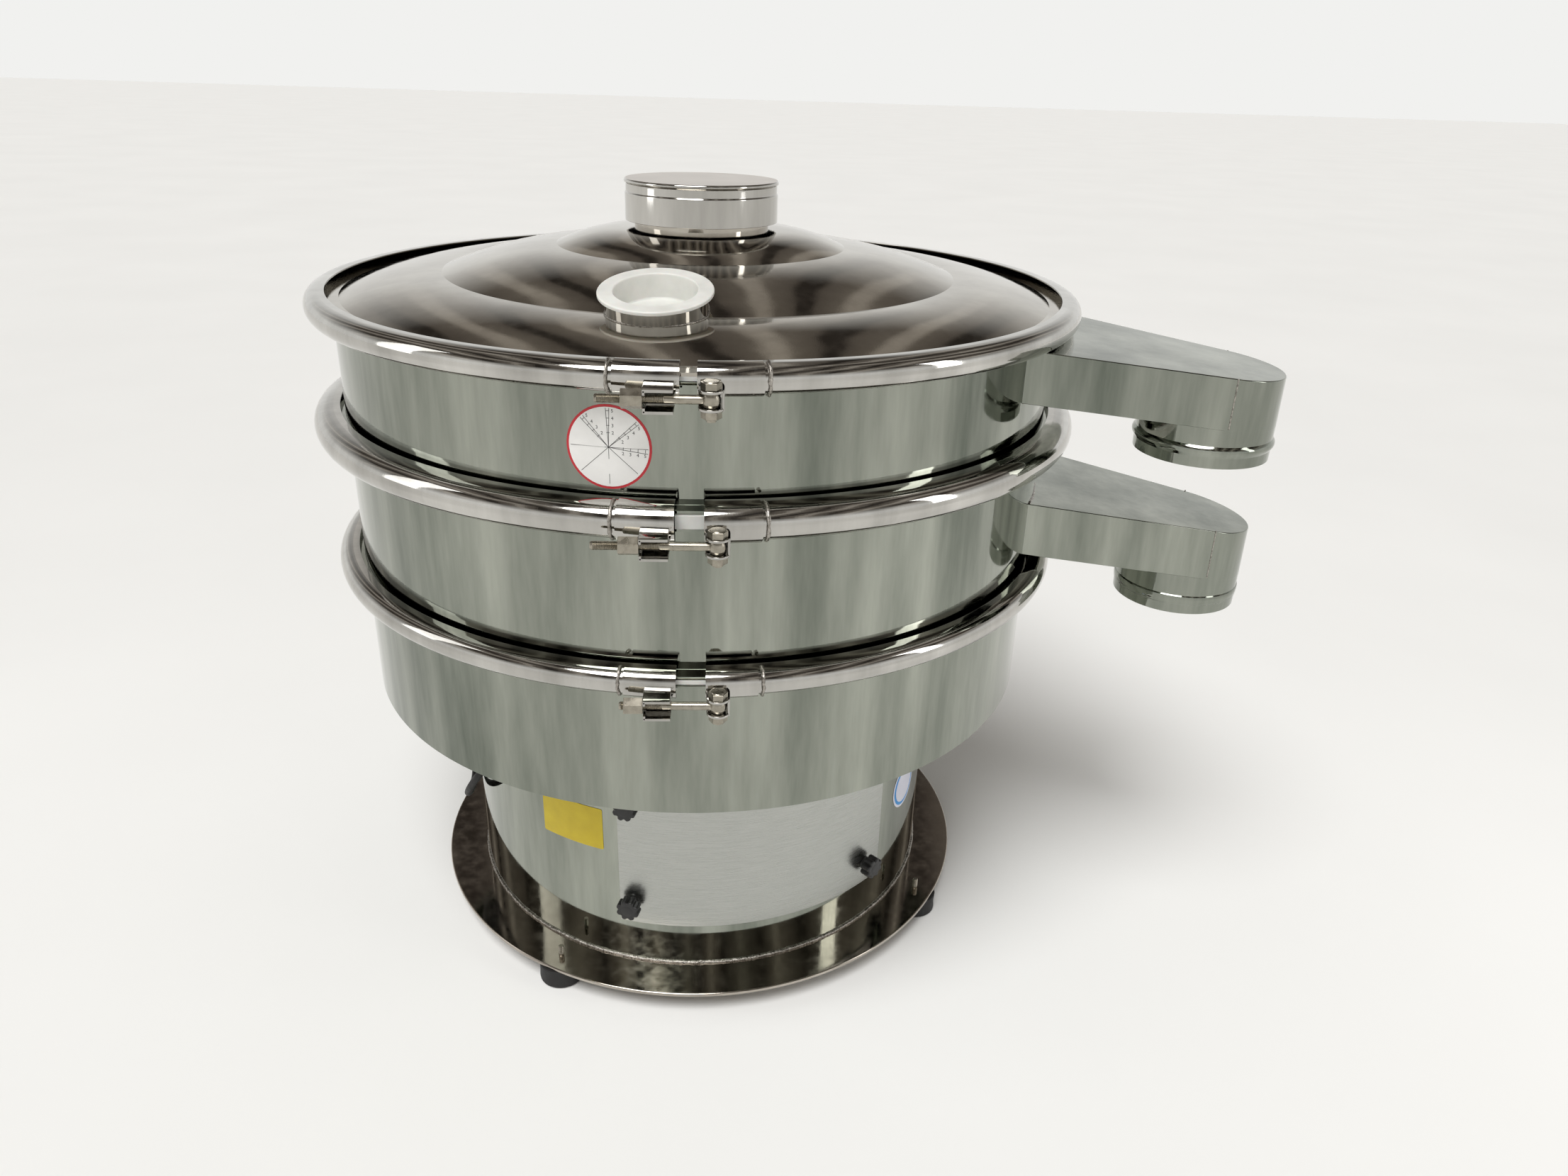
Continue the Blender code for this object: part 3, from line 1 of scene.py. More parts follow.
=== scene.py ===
"""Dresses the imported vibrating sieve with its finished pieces, materials, light and camera."""
from math import asin, atan2, copysign, cos, degrees, hypot, pi, radians, sin, sqrt, tan, tau
import bmesh
import bpy
from mathutils import Matrix, Vector, noise


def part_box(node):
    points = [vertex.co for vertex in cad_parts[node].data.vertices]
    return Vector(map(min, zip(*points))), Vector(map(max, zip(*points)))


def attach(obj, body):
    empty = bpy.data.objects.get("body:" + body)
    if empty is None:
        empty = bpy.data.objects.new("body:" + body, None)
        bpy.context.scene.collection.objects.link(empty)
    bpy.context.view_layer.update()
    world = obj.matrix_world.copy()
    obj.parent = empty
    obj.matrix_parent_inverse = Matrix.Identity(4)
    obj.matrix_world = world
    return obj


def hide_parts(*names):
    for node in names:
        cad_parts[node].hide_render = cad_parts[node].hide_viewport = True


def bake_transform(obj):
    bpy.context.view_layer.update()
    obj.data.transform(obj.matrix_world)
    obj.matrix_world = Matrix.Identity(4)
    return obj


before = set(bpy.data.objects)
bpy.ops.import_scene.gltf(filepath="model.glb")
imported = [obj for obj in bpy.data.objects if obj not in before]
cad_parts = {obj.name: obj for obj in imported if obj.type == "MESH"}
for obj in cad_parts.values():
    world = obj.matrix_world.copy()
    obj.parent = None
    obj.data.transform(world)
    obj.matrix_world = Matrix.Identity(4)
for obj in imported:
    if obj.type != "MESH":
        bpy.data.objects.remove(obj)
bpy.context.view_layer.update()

# Sizes that many pieces share
# The drum's radius, the inside and outside of every barrel, and the edge of their joint flanges.
DRUM_R = 0.370
BARREL_IN, BARREL_R = 0.497, 0.500
JOINT_R = 0.519
QUARTER = radians(90)


# Camera
# The view that was solved from the stacked circles of the photograph.
# It stands in front of the sieve, looks down on it and leans a little.
def linked(name, data):
    """A new object that holds the data, in the scene."""
    item = bpy.data.objects.new(name, data)
    bpy.context.collection.objects.link(item)
    return item


mesh_low, mesh_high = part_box("screen_mesh")
AXIS_X = (mesh_low[0] + mesh_high[0]) / 2
AXIS_Y = (mesh_low[1] + mesh_high[1]) / 2
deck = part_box("base_flange")[1][2]
yaw, pitch, roll, frame_turn = (radians(value) for value in (4.59, 24.73, 1.78, 1.5))
ahead = Vector((sin(yaw) * cos(pitch), cos(yaw) * cos(pitch), -sin(pitch)))
across = Vector((cos(yaw), -sin(yaw), 0))
upwards = across.cross(ahead)
across, upwards = (across * cos(roll) + upwards * sin(roll),
                   upwards * cos(roll) - across * sin(roll))
swing = Matrix.Rotation(frame_turn, 3, "Z")
across, upwards, ahead = swing @ across, swing @ upwards, swing @ ahead
stand = Vector((AXIS_X + 0.04304, AXIS_Y - 1.64344, deck + 1.2002))
lens = bpy.data.cameras.new("photo_camera")
lens.sensor_width = 36.0
lens.lens = 25.62
camera = linked("photo_camera", lens)
turn = Matrix((across, upwards, -ahead)).transposed().to_4x4()
camera.matrix_world = Matrix.Translation(stand) @ turn
bpy.context.scene.camera = camera


# Rubber compound, used first on the motor's lead
# Black vulcanised rubber with a dull skin, lightly dusty where it has been handled.
def linear(code):
    """The linear colour of an sRGB hex value."""
    parts = [int(code[index:index + 2], 16) / 255 for index in (0, 2, 4)]
    return tuple(p / 12.92 if p <= 0.04045 else ((p + 0.055) / 1.055) ** 2.4 for p in parts) + (1.0,)


def set_all(item, settings):
    """Gives an item all of its settings."""
    for key, value in settings.items():
        setattr(item, key, value)
    return item


def add_node(tree, kind, settings=None, values=None, links=None):
    """One shader node with its settings, its socket values and the links into it."""
    node = set_all(tree.nodes.new(kind), settings or {})
    for key, value in (values or {}).items():
        node.inputs[key].default_value = value
    for key, (source, output) in (links or {}).items():
        tree.links.new(source.outputs[output], node.inputs[key])
    return node


def new_finish(name, values):
    """A material with its shader, whose plain values are set on the sockets, and object coordinates."""
    material = bpy.data.materials.new(name)
    material.use_nodes = True
    tree = material.node_tree
    shader = tree.nodes["Principled BSDF"]
    for key, value in values.items():
        shader.inputs[key].default_value = value
    return material, tree, shader, add_node(tree, "ShaderNodeTexCoord")


def ramp(tree, source, output, stops):
    """A colour ramp over the stops, fed by a node."""
    node = add_node(tree, "ShaderNodeValToRGB", links={"Fac": (source, output)})
    band = node.color_ramp
    while len(band.elements) < len(stops):
        band.elements.new(0.5)
    for element, (place, colour) in zip(band.elements, stops):
        element.position = place
        element.color = colour
    return node


def grey(value):
    return (value, value, value, 1.0)


def grain_of(tree, source, scale, detail, rough=0.5):
    """The output of a noise texture."""
    node = add_node(tree, "ShaderNodeTexNoise", values={"Scale": scale, "Detail": detail, "Roughness": rough},
                    links={"Vector": source})
    return node, "Fac"


def driven(tree, shader, source, colours, rough=None, low=0.3, high=0.7):
    """Drives the shader's colour and roughness by a source, between two values of each."""
    tint = ramp(tree, *source, ((low, linear(colours[0])), (high, linear(colours[1]))))
    tree.links.new(tint.outputs["Color"], shader.inputs["Base Color"])
    if rough:
        worn = ramp(tree, *source, ((low, grey(rough[0])), (high, grey(rough[1]))))
        tree.links.new(worn.outputs["Color"], shader.inputs["Roughness"])


def bump_of(tree, source, depth, under=None):
    """A bump by a source, laid over another bump where there is one."""
    links = {"Height": source}
    if under:
        links["Normal"] = (under, "Normal")
    return add_node(tree, "ShaderNodeBump", values={"Strength": 1.0, "Distance": depth}, links=links)


def mottled(name, dark, pale, grain_mm, rough, bump, values=None, bump_mm=None):
    """A finish whose colour and roughness wander over a grain size, with a fine bump."""
    material, tree, shader, coords = new_finish(name, values or {})
    cloud = grain_of(tree, (coords, "Object"), 1000 / grain_mm, 6.0)
    driven(tree, shader, cloud, (dark, pale), rough)
    fine = grain_of(tree, (coords, "Object"), 1000 / (bump_mm or grain_mm / 6), 4.0)
    tree.links.new(bump_of(tree, fine, bump).outputs["Normal"], shader.inputs["Normal"])
    return material


black_rubber = mottled("black_vulcanised_rubber", "0d0d0d", "1d1c1b", 14, (0.55, 0.75), 0.00012,
                       {"IOR": 1.5})


# Motor lead
# A round rubber-sheathed lead, pushed through the grommet in the drum wall.
# It hangs in a slack loop under the skirt and rises into the connector block.
def clear():
    if bpy.context.object and bpy.context.object.mode != "OBJECT":
        bpy.ops.object.mode_set(mode="OBJECT")
    bpy.ops.object.select_all(action="DESELECT")


def pick(piece):
    """Makes a piece the only selected one and the active one."""
    clear()
    bpy.context.view_layer.objects.active = piece
    piece.select_set(True)


def named(name):
    """The active piece, given its name."""
    piece = bpy.context.object
    piece.name = piece.data.name = name
    return piece


def paint(piece, material):
    piece.data.materials.clear()
    piece.data.materials.append(material)


def settle(piece, body, slot, material, *nodes):
    """Gives a finished piece its material and its body, and hides the CAD nodes it stands for; the slot is
    not used.
    """
    paint(piece, material)
    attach(piece, body)
    if nodes:
        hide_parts(*nodes)
    return piece


def on_base(piece, material, *nodes):
    """Settles a steel piece on the base."""
    settle(piece, "base", "polished_steel", material, *nodes)


def on_stack(piece, material, *nodes):
    """Settles a steel piece on the sieve stack."""
    settle(piece, "sieve_stack", "polished_steel", material, *nodes)


grommet_turn, grommet_z = radians(-138), deck + 0.2922
connector_turn, connector_z = radians(-171), deck + 0.1842
lead_start = Vector((cos(grommet_turn), sin(grommet_turn), 0))
lead_points = [lead_start * (DRUM_R - 0.009)]
lead_out = lead_start * (DRUM_R + 0.022)
lead_end = Vector((cos(connector_turn), sin(connector_turn), 0)) * (DRUM_R + 0.0103)
for point, height in ((lead_points[0], grommet_z), (lead_out, grommet_z),
                      (lead_end, connector_z - 0.0173)):
    point.z = height
last = lead_end - Vector((0, 0, 0.010))
first = lead_out + lead_start * 0.090 - Vector((0, 0, 0.050))
second = last - Vector((0, 0, 0.090))
for index in range(19):
    share = index / 18
    rest = 1 - share
    lead_points.append(lead_out * rest ** 3 + first * 3 * rest * rest * share
                       + second * 3 * rest * share * share + last * share ** 3)
lead_points.append(lead_end)
lead_points = [point + Vector((AXIS_X, AXIS_Y, 0)) for point in lead_points]


def new_curve(name, **settings):
    """A curve that is still empty."""
    return set_all(bpy.data.curves.new(name, "CURVE"), settings)


def run_through(curve, kind, path):
    """A line of the curve through the points of a path."""
    line = curve.splines.new(kind)
    line.points.add(len(path) - 1)
    for knot, place in zip(line.points, path):
        knot.co = (*Vector(place).to_3d(), 1)
    return line


sheath = new_curve("motor_lead_sheath", dimensions="3D", bevel_depth=0.0055, bevel_resolution=6,
                   resolution_u=6, use_fill_caps=True)
spline = run_through(sheath, "NURBS", lead_points)
spline.order_u = 3
spline.use_endpoint_u = True
lead = linked("motor_lead_sheath", sheath)
settle(lead, "base", "rubber", black_rubber, "motor_lead")


# Polished steel sheet
# Stainless 304 sheet, mirror polished by wheel after welding. The eye sees a warm grey mirror
# with slow waves, soft upright polishing streaks and a few fine scratches.
def polished(name, dark, pale, rough, wave, streak=(1.0, 1.0, 0.12)):
    material, tree, shader, coords = new_finish(name, {"Metallic": 1.0})
    drawn = (add_node(tree, "ShaderNodeMapping", values={"Scale": streak},
                      links={"Vector": (coords, "Object")}), "Vector")
    smear = grain_of(tree, drawn, 9.0, 6.0, 0.62)
    driven(tree, shader, smear, (dark, pale), low=0.32, high=0.68)
    haze = ramp(tree, *grain_of(tree, drawn, 55.0, 7.0), ((0.35, grey(rough[0])), (0.7, grey(rough[1]))))
    tree.links.new(haze.outputs["Color"], shader.inputs["Roughness"])
    waves = bump_of(tree, grain_of(tree, (coords, "Object"), 3.2, 1.0), wave)
    relief = bump_of(tree, grain_of(tree, drawn, 420.0, 2.0), 0.000012, waves)
    tree.links.new(relief.outputs["Normal"], shader.inputs["Normal"])
    return material


# The barrels' dark green-grey tone is a painted reflection: the steel's colour is darkened and tinted green
# for a green floor mirrored in it.
barrel_steel_painted_reflection = polished("polished_stainless_barrel_painted_reflection", "686e65", "aaada3", (0.03, 0.09), 0.0030)
EVEN = (1.0, 1.0, 1.0)
METAL = {"Metallic": 1.0}
lid_steel = polished("polished_stainless_lid", "a29c93", "bdb8ae", (0.04, 0.12), 0.0030, EVEN)
ring_steel = polished("polished_stainless_ring", "a3a19c", "cfcdc8", (0.03, 0.10), 0.0005)
flange_steel = polished("polished_stainless_flange", "a0988f", "c2bbb1", (0.06, 0.16), 0.0020, EVEN)
weld_steel = mottled("brushed_off_weld", "77726c", "bdb8b0", 3, (0.18, 0.42), 0.0004, METAL, 1.2)


# Base flange
# A flat ring cut from 6 mm stainless plate, with a rounded and polished edge.
# The drum stands on it and is welded to it all round.
def modified(piece, kind, **settings):
    """Applies a modifier to the piece that is picked."""
    set_all(piece.modifiers.new("change", kind), settings)
    bpy.ops.object.modifier_apply(modifier="change")


def finish_mesh(piece, bevel=0.0, segments=3, smooth=35, corner=28):
    """Merges doubles, turns faces outwards, rounds the sharp edges and smooths what is round."""
    pick(piece)
    bpy.ops.object.mode_set(mode="EDIT")
    bpy.ops.mesh.select_all(action="SELECT")
    bpy.ops.mesh.remove_doubles(threshold=0.00001)
    bpy.ops.mesh.normals_make_consistent(inside=False)
    bpy.ops.object.mode_set(mode="OBJECT")
    bpy.ops.object.transform_apply()
    if bevel:
        modified(piece, "BEVEL", width=bevel, segments=segments, limit_method="ANGLE",
                 angle_limit=radians(corner))
    bpy.ops.object.shade_smooth_by_angle(angle=radians(smooth))
    modified(piece, "WEIGHTED_NORMAL", keep_sharp=True)
    return piece


def drawn_up(name, profile, steps=180, centre=None):
    """A turned piece: one circle drawn from point to point of its profile, about an upright axis."""
    clear()
    x, y = centre or (AXIS_X, AXIS_Y)
    radius, height = profile[0]
    start_r = max(radius, 0.00001)
    bpy.ops.mesh.primitive_circle_add(vertices=steps, radius=start_r, location=(x, y, height))
    piece = named(name)
    bpy.ops.object.mode_set(mode="EDIT")
    bpy.ops.mesh.select_all(action="SELECT")
    for to_r, to_z in profile[1:]:
        to_r = max(to_r, 0.00001)
        bpy.ops.mesh.extrude_edges_move(TRANSFORM_OT_translate={"value": (0, 0, to_z - height)})
        if to_r != start_r:
            grow = to_r / start_r
            bpy.ops.transform.resize(value=(grow, grow, 1), center_override=(x, y, to_z))
        start_r, height = to_r, to_z
    bpy.ops.mesh.select_all(action="SELECT")
    bpy.ops.mesh.remove_doubles(threshold=0.00003)
    bpy.ops.object.mode_set(mode="OBJECT")
    bpy.ops.object.transform_apply()
    return piece


def band(inner, outer, low, high):
    """The profile of a flat ring or a tube."""
    return [(inner, high), (outer, high), (outer, low), (inner, low), (inner, high)]


def arc(x, y, wide, tall, start, step, count):
    """Points on an ellipse, by equal steps in degrees from a first angle."""
    turns = [radians(start + step * index) for index in range(count)]
    return [(x + wide * cos(turn), y + tall * sin(turn)) for turn in turns]


flange_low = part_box("base_flange")[0][2]
base_ring = drawn_up("base_flange_ring", band(0.330, 0.433, flange_low, deck))
on_base(finish_mesh(base_ring, 0.0022, 4), flange_steel, "base_flange")


# Weld at the drum's foot
# A hand-laid bead that was brushed but not ground, so it is lumpy and catches the light.
def lumpy(piece, size, scale, seed):
    """Pushes the points of a bead about by a smooth noise."""
    for vertex in piece.data.vertices:
        push = noise.noise_vector(vertex.co * scale + Vector((seed, 0, 0)))
        vertex.co += push * size


thick = 0.0026
foot_weld = drawn_up("drum_foot_weld", arc(DRUM_R + 0.0005, deck + 0.0012, thick, thick, 0, 45, 9), 420)
lumpy(foot_weld, thick * 0.45, 170, 3)
on_base(finish_mesh(foot_weld, smooth=80), weld_steel)


# Rubber feet
# Four round moulded rubber mounts. A zinc stud moulded into each passes up through the flange.
zinc = mottled("bright_zinc_plate", "918c80", "aca699", 9, (0.24, 0.34), 0.00002, METAL)


def place_mesh(piece, matrix):
    """Moves a piece by moving its mesh."""
    piece.data.transform(matrix)
    piece.data.update()
    return piece


def put(pattern, name, place, body, slot, material, *nodes):
    """Settles a copy of a pattern at a place."""
    twin = linked(name, pattern.data.copy())
    twin.data.name = name
    settle(place_mesh(twin, place), body, slot, material, *nodes)


def about(angle, radius, height=0.0):
    """A place at an angle and a radius from the axis, turned so that X points outwards."""
    return (Matrix.Translation((AXIS_X, AXIS_Y, height)) @ Matrix.Rotation(angle, 4, "Z")
            @ Matrix.Translation((radius, 0, 0)))


foot_profile = [(0, flange_low - 0.0003), (0.0325, flange_low - 0.0003), (0.033, flange_low - 0.002),
                (0.0322, 0.016), (0.033, 0.005), (0.0325, 0.002), (0.030, 0.0), (0, 0)]
rubber_foot = finish_mesh(drawn_up("rubber_foot", foot_profile, 64, (0, 0)), 0.0008)
THREAD_PITCH = 0.00125
stud_profile = [(0, deck + 0.016), (0.0032, deck + 0.016), (0.0040, deck + 0.015)]
for index in range(10):
    groove = deck + 0.0143 - index * THREAD_PITCH
    stud_profile += [(0.0036, groove), (0.0040, groove - 0.0006)]
stud_profile += [(0.0040, flange_low - 0.001), (0, flange_low - 0.001)]
foot_stud = finish_mesh(drawn_up("foot_stud", stud_profile, 24, (0, 0)))
for index in range(4):
    place = about(radians(-120 + 90 * index), 0.404)
    number = index + 1
    put(rubber_foot, f"rubber_foot_{number}", place, "base", "rubber", black_rubber, f"foot_{number}")
    put(foot_stud, f"foot_stud_{number}", place, "base", "zinc_steel", zinc)
for pattern in (rubber_foot, foot_stud):
    bpy.data.objects.remove(pattern)


# Base drum
# A rolled and seam-welded drum of 3 mm sheet with a flat spring ring on top.
# The hand hole is cut through its front, and four studs beside it hold the door.
drum_low = deck + 0.0003
drum_top = drum_low + 0.354
door_start = radians(-107.3)
door_sweep = radians(360 / 44 * 8)
door_middle = door_start + door_sweep / 2
hole_half = radians(360 / 44 * 3)
door_low, door_high = deck + 0.0705, deck + 0.3175
hole_low, hole_high = door_low + 0.052, door_high - 0.052


def drop_faces(piece, test):
    """Deletes the faces whose middle passes a test of its angle about the axis, radius and height."""
    bm = bmesh.new()
    bm.from_mesh(piece.data)
    gone = []
    for face in bm.faces:
        middle = face.calc_center_median()
        dx, dy = middle.x - AXIS_X, middle.y - AXIS_Y
        if test(atan2(dy, dx), hypot(dx, dy), middle.z):
            gone.append(face)
    bmesh.ops.delete(bm, geom=gone, context="FACES")
    bm.to_mesh(piece.data)
    bm.free()


def away_from(angle, middle):
    return abs((angle - middle + pi) % tau - pi)


def sheet_wall(piece, thick, offset=-1.0):
    """Gives an open surface its sheet thickness."""
    pick(piece)
    modified(piece, "SOLIDIFY", thickness=thick, offset=offset, use_even_offset=True)


hole_corners = 0.018
levels = [drum_low, hole_low, hole_low + hole_corners / 3, hole_low + hole_corners]
levels += [hole_high - hole_corners, hole_high - hole_corners / 3, hole_high, drum_top]
drum_wall = drawn_up("base_drum_wall", [(DRUM_R, level) for level in levels], 352)


def in_hole(angle, radius, height):
    side = (hole_half - away_from(angle, door_middle)) * DRUM_R
    rise = min(height - hole_low, hole_high - height)
    if side < 0 or rise < 0:
        return False
    if side < hole_corners and rise < hole_corners:
        return hypot(hole_corners - side, hole_corners - rise) < hole_corners
    return True


drop_faces(drum_wall, in_hole)
finish_mesh(drum_wall)
sheet_wall(drum_wall, 0.003)
on_base(finish_mesh(drum_wall, 0.0004, 2), barrel_steel_painted_reflection, "base_drum")
spring_ring = drawn_up("drum_spring_ring", band(0.318, 0.3665, drum_top - 0.006, drum_top))
on_base(finish_mesh(spring_ring, 0.001), barrel_steel_painted_reflection)
peg_profile = [(0, 0.012), (0.0145, 0.012), (0.016, 0.010), (0.016, -0.001), (0, -0.001)]
spring_peg = finish_mesh(drawn_up("spring_peg", peg_profile, 40, (0, 0)), 0.0004)
spring_circle = DRUM_R - 0.052 / 2
for index in range(6):
    place = about((index + 0.5) * tau / 6, spring_circle, drum_top)
    put(spring_peg, f"drum_spring_peg_{index + 1}", place, "base", "polished_steel", zinc)
knob_places = [(angle, height) for height in (door_low + 0.037, door_high - 0.037)
               for angle in (door_start + radians(2.8), door_start + door_sweep - radians(5.5))]
thread = [(0, 0.015), (0.0032, 0.015), (0.0040, 0.0142)]
for index in range(11):
    groove = 0.0136 - index * THREAD_PITCH
    thread += [(0.0036, groove), (0.0040, groove - 0.0006)]
thread += [(0.0040, -0.001), (0, -0.001)]
door_stud = finish_mesh(drawn_up("door_stud", thread, 24, (0, 0)))


def radial(angle, radius, height):
    """A place whose Z points outwards from the axis."""
    return about(angle, radius, height) @ Matrix.Rotation(QUARTER, 4, "Y")


for index, (angle, height) in enumerate(knob_places):
    place = radial(angle, DRUM_R, height)
    put(door_stud, f"door_stud_{index + 1}", place, "base", "polished_steel", zinc)
bpy.data.objects.remove(door_stud)


# Hand hole door
# A plate of 2 mm stainless with a straight brushed grain, rolled to the drum and left bare.
# Four slots let it be drawn off the studs.
brushed, tree, shader, coords = new_finish("straight_brushed_stainless", {"Metallic": 1.0})
grain_way = add_node(tree, "ShaderNodeMapping", values={"Scale": (1.0, 1.0, 45.0)},
                     links={"Vector": (coords, "Object")})
grain = grain_of(tree, (grain_way, "Vector"), 26.0, 8.0, 0.7)
driven(tree, shader, grain, ("a6a8a3", "bcbdb9"), (0.22, 0.36))
tree.links.new(bump_of(tree, grain, 0.000012).outputs["Normal"], shader.inputs["Normal"])
door_r = DRUM_R + 0.0003
door_levels = (door_low, (door_low + door_high) / 2, door_high)
door = drawn_up("hand_hole_door_plate", [(door_r, level) for level in door_levels], 352)
drop_faces(door, lambda angle, radius, height: away_from(angle, door_middle) > door_sweep / 2)
finish_mesh(door)
sheet_wall(door, 0.002, 1.0)
finish_mesh(door)


def cut_with(piece, tool):
    """Cuts a tool's shape out of a piece and throws the tool away."""
    pick(piece)
    modified(piece, "BOOLEAN", operation="DIFFERENCE", solver="EXACT", object=tool)
    bpy.data.objects.remove(tool)


def rod_between(name, radius, low, high, steps=32):
    """A plain rod along Z at the origin, used as a cutter or as a seam."""
    clear()
    bpy.ops.mesh.primitive_cylinder_add(vertices=steps, radius=radius, depth=high - low,
                                        location=(0, 0, (low + high) / 2))
    piece = named(name)
    bpy.ops.object.transform_apply()
    return piece


for angle, height in knob_places:
    away = copysign(1, angle - door_middle)
    shift = 0.015 * tan(abs(angle - door_middle)) / DRUM_R
    for step in range(4):
        slot_cutter = rod_between("slot_cutter", 0.0046, 0.360, 0.380)
        cut_with(door, place_mesh(slot_cutter, radial(angle + away * shift * step / 3, 0, height)))
settle(finish_mesh(door, 0.0003, 2), "hand_hole_door", "brushed_plate", brushed, "hand_hole_door")


# Star knobs
# Black moulded knobs with eight lobes and a collar, screwed on the door's studs.
black_plastic = mottled("black_moulded_nylon", "0b0b0b", "191919", 5, (0.30, 0.45), 0.00008, {"IOR": 1.53})


def as_mesh(name, curve):
    """Turns a curve or a text into a mesh."""
    pick(linked(name, curve))
    bpy.ops.object.convert(target="MESH")
    return named(name)


def flat_solid(name, outline, low, high, round_edge=0.0, holes=()):
    """A filled outline given a thickness and rounded edges, lying in XY."""
    drawing = new_curve(name, dimensions="2D", fill_mode="BOTH", extrude=(high - low) / 2 - round_edge,
                        bevel_depth=round_edge, bevel_resolution=2, offset=-round_edge)
    for loop in (outline, *holes):
        run_through(drawing, "POLY", loop).use_cyclic_u = True
    return place_mesh(as_mesh(name, drawing), Matrix.Translation((0, 0, (low + high) / 2)))


star = []
for index in range(96):
    angle = index * tau / 96
    dip = (0.5 + 0.5 * cos(8 * angle)) ** 2.2
    radius = 0.017 - 0.0035 * dip
    star.append((radius * cos(angle), radius * sin(angle)))
knob_foot = door_r + 0.002 + 0.0003
knob_head = flat_solid("star_knob_head", star, knob_foot + 0.006, knob_foot + 0.023, 0.0025)
collar = drawn_up("star_knob_collar", [(0.0044, knob_foot), (0.0092, knob_foot), (0.0100, knob_foot + 0.001),
                                       (0.0105, knob_foot + 0.008), (0.0044, knob_foot + 0.008),
                                       (0.0044, knob_foot)], 40, (0, 0))
cap_disc = drawn_up("star_knob_cap", [(0, knob_foot + 0.0234), (0.0080, knob_foot + 0.0234),
                                      (0.0088, knob_foot + 0.0228), (0, knob_foot + 0.0228)], 40, (0, 0))


def joined(name, *parts):
    """One piece made of several."""
    clear()
    for part in parts:
        part.select_set(True)
    bpy.context.view_layer.objects.active = parts[0]
    bpy.ops.object.join()
    return named(name)


knob = finish_mesh(joined("star_knob", knob_head, collar, cap_disc), smooth=40)
for index, (angle, height) in enumerate(knob_places):
    knob_name = f"star_knob_{index + 1}"
    put(knob, f"star_knob_piece_{index + 1}", radial(angle, 0, height), knob_name, "black_plastic",
        black_plastic, knob_name)
bpy.data.objects.remove(knob)


# Labels on the drum
# A yellow vinyl label and a round white one, stuck on flat and rolled with the drum.
# Both are left blank.
def vinyl(name, dark, pale):
    return mottled(name, dark, pale, 40, (0.30, 0.42), 0.00002, {"IOR": 1.45})


def flat_patch(name, width, height, corner, lift):
    """A thin rounded rectangle or disc, cut fine enough to be rolled round a barrel."""
    outline = []
    for index in range(48):
        angle = index * tau / 48 + tau / 96
        sx, sy = copysign(1, cos(angle)), copysign(1, sin(angle))
        outline.append((sx * (width / 2 - corner) + corner * cos(angle),
                        sy * (height / 2 - corner) + corner * sin(angle)))
    piece = flat_solid(name, outline, lift, lift + 0.00015)
    pick(piece)
    bpy.ops.object.mode_set(mode="EDIT")
    for index in range(1, 12):
        bpy.ops.mesh.select_all(action="SELECT")
        bpy.ops.mesh.bisect(plane_co=(width * (index / 12 - 0.5), 0, 0), plane_no=(1, 0, 0))
    bpy.ops.object.mode_set(mode="OBJECT")
    return piece


def rolled_on(piece, radius, angle, height):
    """Rolls a flat piece, drawn about the origin in XY, onto a barrel."""
    for vertex in piece.data.vertices:
        turn = angle + vertex.co.x / radius
        out = radius + vertex.co.z
        vertex.co = Vector((AXIS_X + out * cos(turn), AXIS_Y + out * sin(turn),
                            height + vertex.co.y))
    return finish_mesh(piece)


yellow_label = flat_patch("yellow_label", DRUM_R * radians(16), 0.069, 0.003, 0.0003)
rolled_on(yellow_label, DRUM_R, radians(-29) - QUARTER, deck + 0.2227)
on_base(yellow_label, vinyl("yellow_vinyl", "c9b021", "dcc62d"))
for name, size, lift, colours in (("round_label_white", 0.076, 0.0003, ("d5d6e4", "e4e5ee")),
                                  ("round_label_blue", 0.068, 0.0005, ("1f84cf", "2f95dd")),
                                  ("round_label_field", 0.058, 0.0007, ("d2d3e2", "e0e1ec"))):
    disc = flat_patch(name, size, size, size / 2 - 0.0001, lift)
    rolled_on(disc, DRUM_R, radians(59.8) - QUARTER, deck + 0.1902)
    on_base(disc, vinyl(name + "_vinyl", *colours))


# Vibrating body
# The skirt barrel of 3 mm sheet. The motor plate is welded inside it, the springs push on
# pegs under the plate, and a flat flange on top carries the sieve frames.
skirt_low, body_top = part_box("vibrating_body")[0][2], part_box("vibrating_body")[1][2]
plate_low = skirt_low + 0.105
body_profile = [(BARREL_IN, body_top), (JOINT_R, body_top), (JOINT_R, body_top - 0.004),
                (BARREL_R, body_top - 0.004), (BARREL_R, skirt_low), (BARREL_IN, skirt_low),
                (BARREL_IN, plate_low), (0.104, plate_low), (0.104, plate_low + 0.007),
                (BARREL_IN, plate_low + 0.007), (BARREL_IN, body_top)]
body_shell = drawn_up("vibrating_body_shell", body_profile, 240)
on_stack(finish_mesh(body_shell, 0.0007, 2), barrel_steel_painted_reflection, "vibrating_body")
for index in range(6):
    place = about((index + 0.5) * tau / 6, spring_circle, plate_low)
    place = place @ Matrix.Rotation(pi, 4, "X")
    put(spring_peg, f"plate_spring_peg_{index + 1}", place, "sieve_stack", "polished_steel", zinc)
bpy.data.objects.remove(spring_peg)


